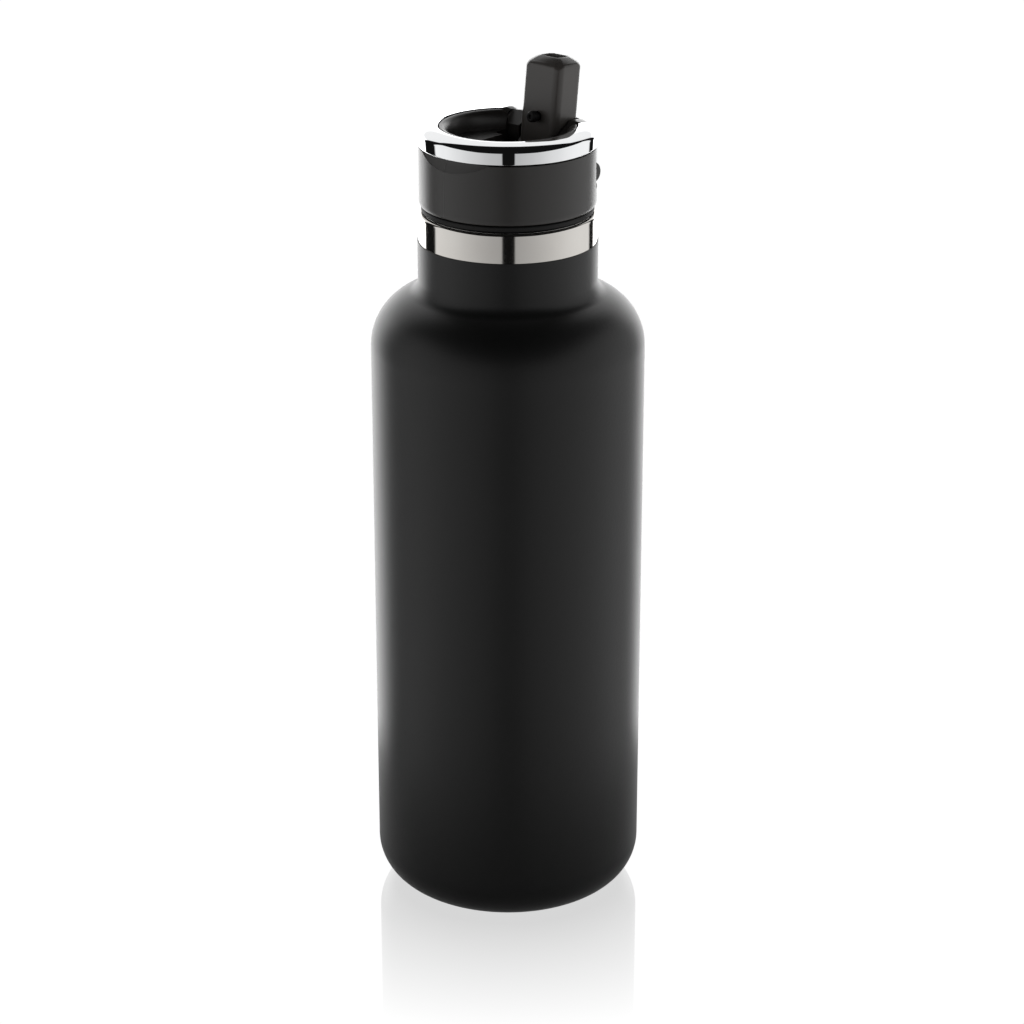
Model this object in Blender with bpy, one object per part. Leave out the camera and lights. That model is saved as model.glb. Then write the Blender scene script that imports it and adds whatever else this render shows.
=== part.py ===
"""Insulated steel water bottle with a flip-up spout and a folding carry ring.

Metres, +Z up. The origin is the centre of the base. The lid's front, where the thumb notch is,
points along -Y, and both pivots in the lid turn about lines parallel to X.
"""
import math

import bmesh
import bpy
from mathutils import Matrix, Vector

# General
GAP = 0.0003            # clearance between pieces that touch
EDGE = 0.0003           # small chamfer on a moulded edge
SOFT_EDGE = 0.0002      # chamfer on a rubber edge and on the ring's inner edge
SIDES = 40              # facets round a turned piece
STEEL_WALL = 0.0008     # outer shell
LINER_WALL = 0.0005     # inner liner

# Outer shell
BODY_R = 0.0365
BASE_CORNER_R = 0.0118
SHOULDER_Z = 0.1568     # where the straight wall ends
SHOULDER_R = 0.01535
SHOULDER_SLOPE = math.radians(22.2)
NECK_FILLET_R = 0.0042
NECK_R = 0.0238         # coated neck
COAT_RISE = 0.0289      # from the end of the straight wall to the end of the coating
COAT_STEP = 0.00025     # coating's edge above the bare steel
LIP_H = 0.0077          # bare steel lip
LIP_ROUND = 0.0008
LIP_WALL = 0.0011
FOOT_INNER_R = 0.0195   # opening in the foot, filled by the base disc
DISC_RAISE = 0.00015    # base disc above the foot's edge

# Shell bottom, its seal and the getter
VACUUM_HOLE_R = 0.0012
DIMPLE_R = 0.006
DIMPLE_H = 0.0015
DIMPLE_SLOPE_W = 0.002
BEAD_R = 0.0018
BEAD_FLAT = 0.5         # height of the bead over its radius
GETTER_R = 0.005
GETTER_H = 0.002
GETTER_RIM_W = 0.001
GETTER_X = 0.014

# Inner liner
VACUUM_GAP = 0.0024
LINER_FLOOR_Z = 0.006   # under side of the liner's floor
NECK_VACUUM_GAP = 0.0009
LINER_FLARE_H = 0.0022  # height of the flared mouth that meets the lip
THREAD_PITCH = 0.004
THREAD_TURNS = 1.25
THREAD_DEPTH = 0.001
THREAD_ROOT = 0.0016    # axial width of the ridge at its root
THREAD_CREST = 0.0008
THREAD_CLEAR = 0.00045  # from a crest to the wall that it faces
THREAD_DROP = 0.0122    # from the lip's top to the liner's thread

# Lid
GASKET_T = 0.0015
GASKET_INSET = 0.00075  # gasket inside the lip's outer face
SKIRT_INSET = 0.0005    # skirt inside the neck's outer face
SKIRT_WALL = 0.002
SKIRT_H = 0.0156
SKIRT_LIP_H = 0.0016
SKIRT_LIP_INSET = 0.00045
NOTCH_R = 0.024
NOTCH_DEPTH = 0.003
NOTCH_INSET = 0.001
CHEEK_T = 0.006         # cheek, from the spout's pocket to the flat that an ear lies on
CHEEK_FORWARD = 0.0032  # cheek's front plane before the spout's pivot
CHEEK_SLOPE_D = 0.0048  # sloped front of a cheek's top, front to back
CHEEK_SLOPE_H = 0.0028
SADDLE_FORWARD = 0.0062 # saddle's front plane before the spout's pivot
SADDLE_T = 0.0024
REAR_DROP = 0.0009      # rear block's top below the ring's top
RECESS_CLEAR = 0.0005   # below an ear

# Carry ring
RING_PROUD = 0.0001     # ring outside the skirt
RING_W = 0.0052
RING_H = 0.005
RING_FACE_H = 0.0028    # upright outer face below the rounded top
EAR_T = 0.0024
EAR_HALF_W = 0.0026
HANDLE_FORWARD = 0.0003 # ring's pivot before the spout's pivot
HANDLE_DROP = 0.0033    # and below it
HANDLE_PIN_R = 0.0013
HANDLE_PIN_HOLD = 0.003 # length of pin inside the cheek
HANDLE_HEAD_R = 0.0028
HANDLE_HEAD_H = 0.001
HANDLE_HEAD_ROUND = 0.0006

# Spout
SPOUT_BACK_T = 0.003    # lid behind the spout's barrel
SPOUT_LEAN = math.radians(6.7)
SPOUT_W = 0.0126
SPOUT_CORNER = 0.0022
SPOUT_CROWN_R = 0.0085  # roundness of the mouth end, front to back
BARREL_R = 0.0049
BORE_R = 0.0024
SPOUT_PIN_R = 0.0011
SPOUT_PIN_GRIP = 0.0014 # length of pin inside the spout
SPOUT_PIN_HOLD = 0.0022 # length of pin inside the cheek
SIDE_CLEAR = 0.0006     # spout to cheek
BACK_CLEAR = 0.0005     # spout to the wall behind it
PLUG_CLEAR = 0.0001     # plug's head to the valve when the spout is folded
PLUG_ROOT = 0.0012      # length of plug inside the spout's wall
PLUG_NECK = 0.0006      # bare stem between the spout and the head
PLUG_FLARE = 0.0005
PLUG_ROUND = 0.0009
PLUG_STEM_R = 0.0011
PLUG_HEAD_R = 0.0015

# Deck
BOWL_RIM_DROP = 0.0002  # bowl's rim below the ring's top
BOWL_LIP_W = 0.0004     # flat lip round the bowl
BOWL_DEPTH = 0.0048
BOWL_SIDE_W = 0.0023    # width of the bowl's curved side in plan
BOWL_FRONT = 0.005      # bowl's floor in front of the folded spout
DECK_FLANGE_T = 0.0018
SLOT_WALL = 0.0012
SLOT_END_CLEAR = 0.001  # folded spout's tip to the slot's end
SLOT_CLEAR = 0.0009     # slot wall to folded spout
SLOT_CORNER = 0.002
SLOT_LAP = 0.0005       # slot walls into the bowl's floor
POCKET_WIDER = 0.0033   # wider end of the slot, in front of the cheeks
POCKET_FORWARD = 0.0032
VALVE_LAND = 0.0005     # plug's head over the valve's hole
VALVE_WALL = 0.0009
VALVE_BEHIND = 0.0005   # deck between the valve and the saddle

# Stopper, straw and the parts between them
STOPPER_WALL = 0.0016
STOPPER_PLATE_T = 0.0018
STOPPER_H = 0.0205
STOPPER_CHAMFER = 0.0005
AIR_HOLE_R = 0.0008
PORT_FORWARD = 0.0018   # straw's axis before the spout's pivot
SOCKET_R = 0.004
SOCKET_WALL = 0.0007
SOCKET_NECK_R = 0.0033
SOCKET_FLANGE_T = 0.0006
SOCKET_LEN = 0.0155
SOCKET_SLEEVE = 0.0085
STRAW_WALL = 0.0008
STRAW_FLOOR_CLEAR = 0.006
SEAL_R = 0.004
SEAL_T = 0.001
SEAL_BORE_CLEAR = 0.0006

# Places worked out from the sizes above
SHOULDER_CENTRE_R = BODY_R - SHOULDER_R
COAT_TOP_Z = SHOULDER_Z + COAT_RISE
LIP_R = NECK_R - COAT_STEP
LIP_TOP_Z = COAT_TOP_Z + LIP_H
FLOOR_IN_Z = STEEL_WALL + GAP
BOTTOM_R = BODY_R - BASE_CORNER_R - STEEL_WALL
LINER_R = BODY_R - STEEL_WALL - VACUUM_GAP
LINER_NECK_R = LIP_R - LIP_WALL - NECK_VACUUM_GAP
LINER_BORE_R = LINER_NECK_R - LINER_WALL
LINER_LIP_R = LIP_R - LIP_WALL - GAP
LINER_THREAD_Z = LIP_TOP_Z - THREAD_DROP
STOPPER_R = LINER_BORE_R - THREAD_DEPTH - THREAD_CLEAR
GASKET_R = LIP_R - GASKET_INSET
GASKET_Z = LIP_TOP_Z + GAP
SKIRT_R = NECK_R - SKIRT_INSET
SKIRT_Z = GASKET_Z + GASKET_T + GAP
SKIRT_TOP_Z = SKIRT_Z + SKIRT_H
SKIRT_IN_R = SKIRT_R - SKIRT_WALL
RING_R = SKIRT_R + RING_PROUD
RING_INNER_R = RING_R - RING_W
RING_Z = SKIRT_TOP_Z + GAP
RING_TOP_Z = RING_Z + RING_H
PLATE_TOP_Z = SKIRT_Z + STOPPER_PLATE_T
DECK_R = SKIRT_IN_R - GAP
BOWL_R = RING_INNER_R - GAP
BOWL_RIM_Z = RING_TOP_Z - BOWL_RIM_DROP
BOWL_FLOOR_Z = BOWL_RIM_Z - BOWL_DEPTH
SADDLE_UNDER_Z = PLATE_TOP_Z + SOCKET_FLANGE_T + 3 * GAP
SADDLE_Z = SADDLE_UNDER_Z + SADDLE_T
SPOUT_D = 2 * BARREL_R
SPOUT_PIVOT_Y = SKIRT_R - SPOUT_BACK_T - BARREL_R
SPOUT_PIVOT_Z = SADDLE_Z + 2 * GAP + BARREL_R
SPOUT_REACH = BOWL_R - BOWL_LIP_W - BOWL_SIDE_W - BOWL_FRONT
SPOUT_LEN = SPOUT_PIVOT_Y + SPOUT_REACH     # pivot to the highest point of the mouth
SPOUT_BACK_Y = SPOUT_PIVOT_Y + SPOUT_D / 2 + (RING_TOP_Z - SPOUT_PIVOT_Z) * math.tan(SPOUT_LEAN)
HANDLE_PIVOT_Y = SPOUT_PIVOT_Y - HANDLE_FORWARD
HANDLE_PIVOT_Z = SPOUT_PIVOT_Z - HANDLE_DROP
CHEEK_X = SPOUT_W / 2 + SIDE_CLEAR
REAR_Y = SPOUT_PIVOT_Y - CHEEK_FORWARD
REAR_HALF_W = CHEEK_X + CHEEK_T
REAR_TOP_Z = RING_TOP_Z - REAR_DROP
SADDLE_Y = SPOUT_PIVOT_Y - SADDLE_FORWARD
RECESS_Z = HANDLE_PIVOT_Z - EAR_HALF_W - RECESS_CLEAR
EAR_X = REAR_HALF_W + GAP
HANDLE_HEAD_X = EAR_X + EAR_T + GAP
SLOT_HALF_W = SPOUT_W / 2 + SLOT_CLEAR
SLOT_FRONT_Y = -SPOUT_REACH - SLOT_END_CLEAR
SLOT_FLOOR_Z = PLATE_TOP_Z + GAP + SLOT_WALL
POCKET_HALF_W = SLOT_HALF_W + POCKET_WIDER
POCKET_Y = SADDLE_Y - POCKET_FORWARD
PORT_Y = SPOUT_PIVOT_Y - PORT_FORWARD
SEAL_Z = SPOUT_PIVOT_Z - BARREL_R - GAP - SEAL_T
SEAL_Y = (PORT_Y + SPOUT_PIVOT_Y - BARREL_R * math.sin(SPOUT_LEAN)) / 2
PLUG_LEN = SPOUT_PIVOT_Z - SLOT_FLOOR_Z - SPOUT_D / 2 - PLUG_CLEAR
VALVE_R = PLUG_HEAD_R - VALVE_LAND
PLUG_UP = SADDLE_FORWARD + VALVE_BEHIND + VALVE_R + VALVE_WALL + 2 * GAP
VALVE_Y = SPOUT_PIVOT_Y - PLUG_UP
STRAW_R = SOCKET_R - SOCKET_WALL - GAP
FAR = 0.05              # beyond everything, for cutters
HIGH = RING_TOP_Z + FAR


# ---------------------------------------------------------------- helpers

def material(name, colour, roughness, metallic=0.0):
    """Principled material of one colour."""
    mat = bpy.data.materials.new(name)
    mat.use_nodes = True
    shader = mat.node_tree.nodes["Principled BSDF"]
    shader.inputs["Base Color"].default_value = (*colour, 1.0)
    shader.inputs["Roughness"].default_value = roughness
    shader.inputs["Metallic"].default_value = metallic
    return mat


def arc(centre, radius, start, end, steps):
    """Points on an arc in the (r, z) plane, angles in degrees."""
    turns = (math.radians(start + (end - start) * i / steps) for i in range(steps + 1))
    return [(centre[0] + radius * math.cos(t), centre[1] + radius * math.sin(t)) for t in turns]


def new_object(name, bm, mat=None):
    """Object from a bmesh, faces out, smooth with sharp edges where they are sharp."""
    bmesh.ops.remove_doubles(bm, verts=bm.verts, dist=1e-7)
    bmesh.ops.recalc_face_normals(bm, faces=bm.faces)
    mesh = bpy.data.meshes.new(name)
    bm.to_mesh(mesh)
    bm.free()
    mesh.shade_smooth()
    mesh.set_sharp_from_angle(angle=math.radians(35))
    obj = bpy.data.objects.new(name, mesh)
    bpy.context.scene.collection.objects.link(obj)
    if mat:
        mesh.materials.append(mat)
    return obj


def turned(name, profile, mat=None, start=None, end=None, sides=SIDES):
    """Solid turned about Z from a closed (r, z) profile, whole or from one angle to another."""
    bm = bmesh.new()
    first = 0.0 if start is None else start
    angle = 2 * math.pi if start is None else end - start
    ring = [bm.verts.new((r * math.cos(first), r * math.sin(first), z)) for r, z in profile]
    edges = [bm.edges.new((ring[i - 1], ring[i])) for i in range(len(ring))]
    steps = max(3, round(sides * angle / (2 * math.pi)))
    bmesh.ops.spin(bm, geom=ring + edges, cent=(0, 0, 0), axis=(0, 0, 1), angle=angle, steps=steps)
    bmesh.ops.remove_doubles(bm, verts=bm.verts, dist=1e-6)
    if start is not None:
        open_edges = [e for e in bm.edges if len(e.link_faces) == 1]
        bmesh.ops.holes_fill(bm, edges=open_edges, sides=0)
    return new_object(name, bm, mat)


def block(name, low, high, mat=None):
    """Box between two corners."""
    bm = bmesh.new()
    size = [b - a for a, b in zip(low, high)]
    middle = [(a + b) / 2 for a, b in zip(low, high)]
    bmesh.ops.create_cube(bm, size=1.0, matrix=Matrix.Translation(middle) @ Matrix.Diagonal((*size, 1)))
    return new_object(name, bm, mat)


def rod(name, start, end, radius, mat=None, sides=24):
    """Cylinder between two points."""
    bm = bmesh.new()
    way = Vector(end) - Vector(start)
    turn = way.to_track_quat("Z", "Y").to_matrix().to_4x4()
    place = Matrix.Translation((Vector(start) + Vector(end)) / 2) @ turn
    bmesh.ops.create_cone(bm, cap_ends=True, segments=sides, radius1=radius, radius2=radius,
                          depth=way.length, matrix=place)
    return new_object(name, bm, mat)


def prism(name, corners, way):
    """Closed prism from the corners of its first face and the way to its second."""
    bm = bmesh.new()
    face = bm.faces.new([bm.verts.new(corner) for corner in corners])
    far = bmesh.ops.extrude_face_region(bm, geom=[face])
    verts = [v for v in far["geom"] if isinstance(v, bmesh.types.BMVert)]
    bmesh.ops.translate(bm, verts=verts, vec=way)
    return new_object(name, bm)


def rounded_prism(name, half_w, front_y, back_y, corner, low_z, high_z):
    """Upright prism whose plan is a rectangle with rounded corners."""
    outline = []
    for x_sign, y_mid, start in ((1, front_y + corner, -90), (1, back_y - corner, 0),
                                 (-1, back_y - corner, 90), (-1, front_y + corner, 180)):
        outline += arc((x_sign * (half_w - corner), y_mid), corner, start, start + 90, 5)
    return prism(name, [(x, y, low_z) for x, y in outline], (0, 0, high_z - low_z))


def side_prism(name, outline, low_x, high_x):
    """Prism along X from its (y, z) outline."""
    return prism(name, [(low_x, y, z) for y, z in outline], (high_x - low_x, 0, 0))


def turned_at(name, profile, centre, axis, mat=None, sides=24):
    """Solid turned about Z, then moved so that Z becomes the given axis through a point."""
    obj = turned(name, profile, mat, sides=sides)
    turn = Vector(axis).to_track_quat("Z", "Y").to_matrix().to_4x4()
    obj.data.transform(Matrix.Translation(centre) @ turn)
    return obj


def combine(target, tool, operation):
    """Boolean of a tool object with a target. The tool stays as a hidden guide."""
    change = target.modifiers.new(tool.name, "BOOLEAN")
    change.operation = operation
    change.solver = "EXACT"
    change.object = tool
    tool.hide_render = True
    tool.display_type = "WIRE"


def cut(target, tool):
    combine(target, tool, "DIFFERENCE")


def join(target, tool):
    combine(target, tool, "UNION")


def keep(target, tool):
    combine(target, tool, "INTERSECT")


def thread(name, radius, low_z, outward):
    """Helical ridge on a cylinder, with its foot sunk into the wall."""
    bm = bmesh.new()
    side = 1 if outward else -1
    steps = round(SIDES * THREAD_TURNS)
    rings = []
    for i in range(steps + 1):
        share = i / steps
        turn = 2 * math.pi * THREAD_TURNS * share
        z = low_z + THREAD_PITCH * THREAD_TURNS * share
        fade = min(1.0, 6 * share, 6 * (1 - share))
        foot = radius - side * LINER_WALL / 2
        crest = radius + side * THREAD_DEPTH * max(fade, 0.1)
        outline = ((foot, z - THREAD_ROOT / 2), (crest, z - THREAD_CREST / 2),
                   (crest, z + THREAD_CREST / 2), (foot, z + THREAD_ROOT / 2))
        rings.append([bm.verts.new((r * math.cos(turn), r * math.sin(turn), h)) for r, h in outline])
    for near, far in zip(rings, rings[1:]):
        for k in range(4):
            bm.faces.new((near[k - 1], near[k], far[k], far[k - 1]))
    bm.faces.new(rings[0])
    bm.faces.new(reversed(rings[-1]))
    return new_object(name, bm)


def vessel_outline(inset, floor_z, neck_r, top_z, floor_r):
    """Outline of a vessel from its floor up to the neck, a given distance inside the body's face."""
    wall_r = BODY_R - inset
    corner = max(BASE_CORNER_R - inset, 0.002)
    shoulder = SHOULDER_R - inset
    fillet = NECK_FILLET_R + (NECK_R - neck_r)
    slope = math.degrees(SHOULDER_SLOPE)
    points = [(floor_r, floor_z)]
    points += arc((wall_r - corner, floor_z + corner), corner, -90, 0, 5)
    points += arc((SHOULDER_CENTRE_R, SHOULDER_Z), shoulder, 0, 90 - slope, 5)
    centre_r = neck_r + fillet
    across = (centre_r - SHOULDER_CENTRE_R) * math.sin(SHOULDER_SLOPE)
    centre_z = SHOULDER_Z + (shoulder + fillet - across) / math.cos(SHOULDER_SLOPE)
    points += arc((centre_r, centre_z), fillet, 270 - slope, 180, 3)
    points.append((neck_r, top_z))
    return points


# ---------------------------------------------------------------- bottle

def outer_shell(mat):
    """Drawn steel vessel: foot, wall, shoulder, coated neck and bare lip."""
    outside = vessel_outline(0, 0, NECK_R, COAT_TOP_Z, FOOT_INNER_R)
    lip = [(LIP_R, COAT_TOP_Z)]
    lip += arc((LIP_R - LIP_ROUND, LIP_TOP_Z - LIP_ROUND), LIP_ROUND, 0, 90, 3)
    lip.append((LIP_R - LIP_WALL, LIP_TOP_Z))
    inside = vessel_outline(STEEL_WALL, STEEL_WALL, LIP_R - LIP_WALL, COAT_TOP_Z, FOOT_INNER_R)
    return turned("outer_shell", outside + lip + inside[::-1], mat)


def shell_bottom(mat):
    """Pressed disc that closes the outer shell, with a dimple round the pumping hole."""
    low = FLOOR_IN_Z
    raised = low + DIMPLE_H
    flat_r = DIMPLE_R - DIMPLE_SLOPE_W
    shift = STEEL_WALL / 2
    profile = [(VACUUM_HOLE_R, raised), (flat_r, raised), (DIMPLE_R, low), (BOTTOM_R, low),
               (BOTTOM_R, low + STEEL_WALL), (DIMPLE_R + shift, low + STEEL_WALL),
               (flat_r + shift, raised + STEEL_WALL), (VACUUM_HOLE_R, raised + STEEL_WALL)]
    return turned("shell_bottom", profile, mat)


def vacuum_seal(mat):
    """Bead of solder glass under the pumping hole."""
    top = FLOOR_IN_Z + DIMPLE_H - GAP
    dome = arc((0, top), BEAD_R, -90, 0, 4)
    low = [(r, top + (z - top) * BEAD_FLAT) for r, z in dome]
    return turned("vacuum_seal", low + [(0, top)], mat, sides=24)


def getter(mat):
    """Getter capsule that stands on the shell bottom beside the hole."""
    floor = FLOOR_IN_Z + STEEL_WALL + GAP
    inner_r = GETTER_R - GETTER_RIM_W
    profile = [(0, 0), (GETTER_R - EDGE, 0), (GETTER_R, EDGE), (GETTER_R, GETTER_H), (inner_r, GETTER_H),
               (inner_r, GETTER_H / 2), (0, GETTER_H / 2)]
    return turned_at("getter", profile, (GETTER_X, 0, floor), (0, 0, 1), mat)


def base_disc(mat):
    """Thin cover pressed into the foot's opening."""
    radius = FOOT_INNER_R - GAP
    profile = [(0, DISC_RAISE), (radius - EDGE, DISC_RAISE), (radius, DISC_RAISE + EDGE),
               (radius, STEEL_WALL), (0, STEEL_WALL)]
    return turned("base_disc", profile, mat)


def inner_liner(mat):
    """Inner vessel with a flared mouth and a rolled thread in its neck."""
    flare = LINER_LIP_R - LINER_NECK_R
    flare_z = LIP_TOP_Z - LINER_FLARE_H
    inset = BODY_R - LINER_R
    outside = vessel_outline(inset, LINER_FLOOR_Z, LINER_NECK_R, flare_z - flare, 0)
    mouth = [(LINER_LIP_R, flare_z), (LINER_LIP_R, LIP_TOP_Z),
             (LINER_LIP_R - LINER_WALL, LIP_TOP_Z), (LINER_LIP_R - LINER_WALL, flare_z)]
    inside = vessel_outline(inset + LINER_WALL, LINER_FLOOR_Z + LINER_WALL, LINER_BORE_R,
                            flare_z - flare, 0)
    liner = turned("inner_liner", outside + mouth + inside[::-1], mat)
    join(liner, thread("liner_thread", LINER_BORE_R, LINER_THREAD_Z, outward=False))
    return liner


# ---------------------------------------------------------------- lid

def lid_gasket(mat):
    """Silicone ring between the bottle's lip and the lid."""
    inner = STOPPER_R + GAP
    profile = [(inner, GASKET_Z), (GASKET_R - SOFT_EDGE, GASKET_Z), (GASKET_R, GASKET_Z + SOFT_EDGE),
               (GASKET_R, GASKET_Z + GASKET_T), (inner, GASKET_Z + GASKET_T)]
    return turned("lid_gasket", profile, mat)


def lid_stopper(mat):
    """Threaded plug: a plate under the lid and an open cylinder that screws into the neck."""
    low = SKIRT_Z - STOPPER_H
    bore = STOPPER_R - STOPPER_WALL
    profile = [(0, SKIRT_Z), (bore, SKIRT_Z), (bore, low), (STOPPER_R - STOPPER_CHAMFER, low),
               (STOPPER_R, low + STOPPER_CHAMFER), (STOPPER_R, SKIRT_Z), (DECK_R, SKIRT_Z),
               (DECK_R, PLATE_TOP_Z), (0, PLATE_TOP_Z)]
    stopper = turned("lid_stopper", profile, mat)
    low_z = LINER_THREAD_Z - THREAD_PITCH / 2
    join(stopper, thread("stopper_thread", STOPPER_R, low_z, outward=True))
    cut(stopper, rod("straw_hole", (0, PORT_Y, low), (0, PORT_Y, HIGH), SOCKET_NECK_R + GAP))
    cut(stopper, rod("air_hole", (0, VALVE_Y, low), (0, VALVE_Y, HIGH), AIR_HOLE_R, sides=12))
    return stopper


def rounded_top(inner_r, outer_r, top_z, steps=6):
    """Outer end of the ring's section: from the upright face over to the top."""
    shoulder_z = RING_Z + RING_FACE_H
    turns = (math.pi / 2 * i / steps for i in range(steps + 1))
    return [(inner_r + (outer_r - inner_r) * math.cos(t),
             shoulder_z + (top_z - shoulder_z) * math.sin(t)) for t in turns]


def skirt_profile():
    """Section of the skirt wall with its rounded lower lip."""
    turns = (math.radians(a) for a in (0, 30, 60, 90))
    lip = [(SKIRT_R - SKIRT_LIP_INSET * (1 - math.sin(t)), SKIRT_Z + SKIRT_LIP_H * (1 - math.cos(t)))
           for t in turns]
    return [(SKIRT_IN_R, SKIRT_Z)] + lip + [(SKIRT_R, SKIRT_TOP_Z), (SKIRT_IN_R, SKIRT_TOP_Z)]


def rear_block():
    """Cheeks and saddle behind the bowl, inside the lid's outline, before the pocket is cut."""
    outline = [(0, SADDLE_UNDER_Z), (SKIRT_R, SADDLE_UNDER_Z)]
    outline += rounded_top(RING_INNER_R, SKIRT_R, REAR_TOP_Z) + [(0, REAR_TOP_Z)]
    body = turned("rear_block", outline)
    keep(body, block("rear_limits", (-REAR_HALF_W, SADDLE_Y, 0), (REAR_HALF_W, FAR, HIGH)))
    cut(body, block("above_saddle", (-FAR, -FAR, SADDLE_Z), (FAR, REAR_Y, HIGH)))
    rise = CHEEK_SLOPE_H / CHEEK_SLOPE_D
    slope = [(REAR_Y - GAP, REAR_TOP_Z - CHEEK_SLOPE_H - GAP * rise), (REAR_Y - GAP, HIGH),
             (REAR_Y + CHEEK_SLOPE_D + GAP, HIGH), (REAR_Y + CHEEK_SLOPE_D + GAP, REAR_TOP_Z + GAP * rise)]
    cut(body, side_prism("cheek_slope", slope, -FAR, FAR))
    return body


def notch_cutter():
    """Shallow round-bottomed recess for the thumb, below the ring at the front."""
    low = SKIRT_TOP_Z - NOTCH_DEPTH
    under = low - NOTCH_INSET
    over = SKIRT_TOP_Z + SKIRT_WALL
    band = turned("notch_band", [(SKIRT_R - NOTCH_INSET, under), (SKIRT_R + SKIRT_WALL, under),
                                 (SKIRT_R + SKIRT_WALL, over), (SKIRT_R - NOTCH_INSET, over)])
    centre_z = low + NOTCH_R
    keep(band, rod("notch_round", (0, -FAR, centre_z), (0, 0, centre_z), NOTCH_R, sides=96))
    return band


def lid_housing(mat):
    """Skirt, rear block and the two cheeks, moulded in one piece."""
    housing = turned("lid_housing", skirt_profile(), mat)
    cut(housing, block("ear_recess_left", (-FAR, REAR_Y, RECESS_Z), (-REAR_HALF_W, FAR, HIGH)))
    cut(housing, block("ear_recess_right", (REAR_HALF_W, REAR_Y, RECESS_Z), (FAR, FAR, HIGH)))
    join(housing, rear_block())
    cut(housing, rounded_prism("spout_pocket", CHEEK_X, 0, SPOUT_BACK_Y + BACK_CLEAR,
                               SPOUT_CORNER, SADDLE_Z, HIGH))
    cut(housing, rod("seal_seat", (0, SEAL_Y, SEAL_Z - GAP), (0, SEAL_Y, SADDLE_Z + GAP),
                     SEAL_R + GAP, sides=32))
    cut(housing, rod("port", (0, PORT_Y, SADDLE_UNDER_Z - GAP), (0, PORT_Y, SEAL_Z), BORE_R))
    deep = REAR_HALF_W - HANDLE_PIN_HOLD - GAP
    for side, name in ((-1, "left"), (1, "right")):
        cut(housing, rod("handle_pin_bore_" + name, (side * deep, HANDLE_PIVOT_Y, HANDLE_PIVOT_Z),
                         (side * FAR, HANDLE_PIVOT_Y, HANDLE_PIVOT_Z), HANDLE_PIN_R + GAP, sides=16))
    reach = CHEEK_X + SPOUT_PIN_HOLD + GAP
    cut(housing, rod("spout_pin_bore", (-reach, SPOUT_PIVOT_Y, SPOUT_PIVOT_Z),
                     (reach, SPOUT_PIVOT_Y, SPOUT_PIVOT_Z), SPOUT_PIN_R + GAP, sides=16))
    cut(housing, notch_cutter())
    return housing


def lid_deck(mat):
    """Bowl-shaped tray with a sunk slot that takes the folded spout."""
    under = SKIRT_TOP_Z - DECK_FLANGE_T
    dish_r = BOWL_R - BOWL_LIP_W
    dish = [(dish_r - BOWL_SIDE_W * math.sin(t), BOWL_RIM_Z - BOWL_DEPTH * (1 - math.cos(t)))
            for t in (math.pi / 2 * i / 5 for i in range(6))]
    profile = [(0, under), (DECK_R, under), (DECK_R, SKIRT_TOP_Z), (BOWL_R, SKIRT_TOP_Z),
               (BOWL_R, BOWL_RIM_Z - SOFT_EDGE), (BOWL_R - SOFT_EDGE, BOWL_RIM_Z)]
    profile += dish + [(0, BOWL_FLOOR_Z)]
    deck = turned("lid_deck", profile, mat)
    low = SLOT_FLOOR_Z - SLOT_WALL
    high = under + SLOT_LAP
    outer_corner = SLOT_CORNER + SLOT_LAP
    join(deck, rounded_prism("slot_shell", SLOT_HALF_W + SLOT_WALL, SLOT_FRONT_Y - SLOT_WALL,
                             REAR_Y, outer_corner, low, high))
    join(deck, rounded_prism("pocket_shell", POCKET_HALF_W + SLOT_WALL, POCKET_Y - SLOT_WALL,
                             REAR_Y + outer_corner + GAP, outer_corner, low, high))
    cut(deck, rounded_prism("slot", SLOT_HALF_W, SLOT_FRONT_Y, FAR, SLOT_CORNER, SLOT_FLOOR_Z, HIGH))
    cut(deck, rounded_prism("pocket", POCKET_HALF_W, POCKET_Y, FAR, SLOT_CORNER, SLOT_FLOOR_Z, HIGH))
    cut(deck, block("cheek_room", (-FAR, REAR_Y - GAP, 0), (FAR, FAR, HIGH)))
    cut(deck, block("saddle_room", (-FAR, SADDLE_Y - GAP, 0), (FAR, FAR, SADDLE_Z + GAP)))
    cut(deck, rod("valve_hole", (0, VALVE_Y, 0), (0, VALVE_Y, SLOT_FLOOR_Z + GAP),
                  VALVE_R + VALVE_WALL + GAP))
    return deck


def vent_valve(mat):
    """Silicone ring in the slot floor that the vent plug closes."""
    low = SLOT_FLOOR_Z - SLOT_WALL
    profile = [(VALVE_R, low), (VALVE_R + VALVE_WALL, low), (VALVE_R + VALVE_WALL, SLOT_FLOOR_Z),
               (VALVE_R + EDGE, SLOT_FLOOR_Z)]
    return turned_at("vent_valve", profile, (0, VALVE_Y, 0), (0, 0, 1), mat)


def spout_seal(mat):
    """Silicone ring under the spout's barrel."""
    inner = BORE_R + SEAL_BORE_CLEAR
    profile = [(inner, 0), (SEAL_R, 0), (SEAL_R, SEAL_T - SOFT_EDGE), (SEAL_R - SOFT_EDGE, SEAL_T),
               (inner, SEAL_T)]
    return turned_at("spout_seal", profile, (0, SEAL_Y, SEAL_Z), (0, 0, 1), mat, sides=32)


# ---------------------------------------------------------------- carry ring

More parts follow.
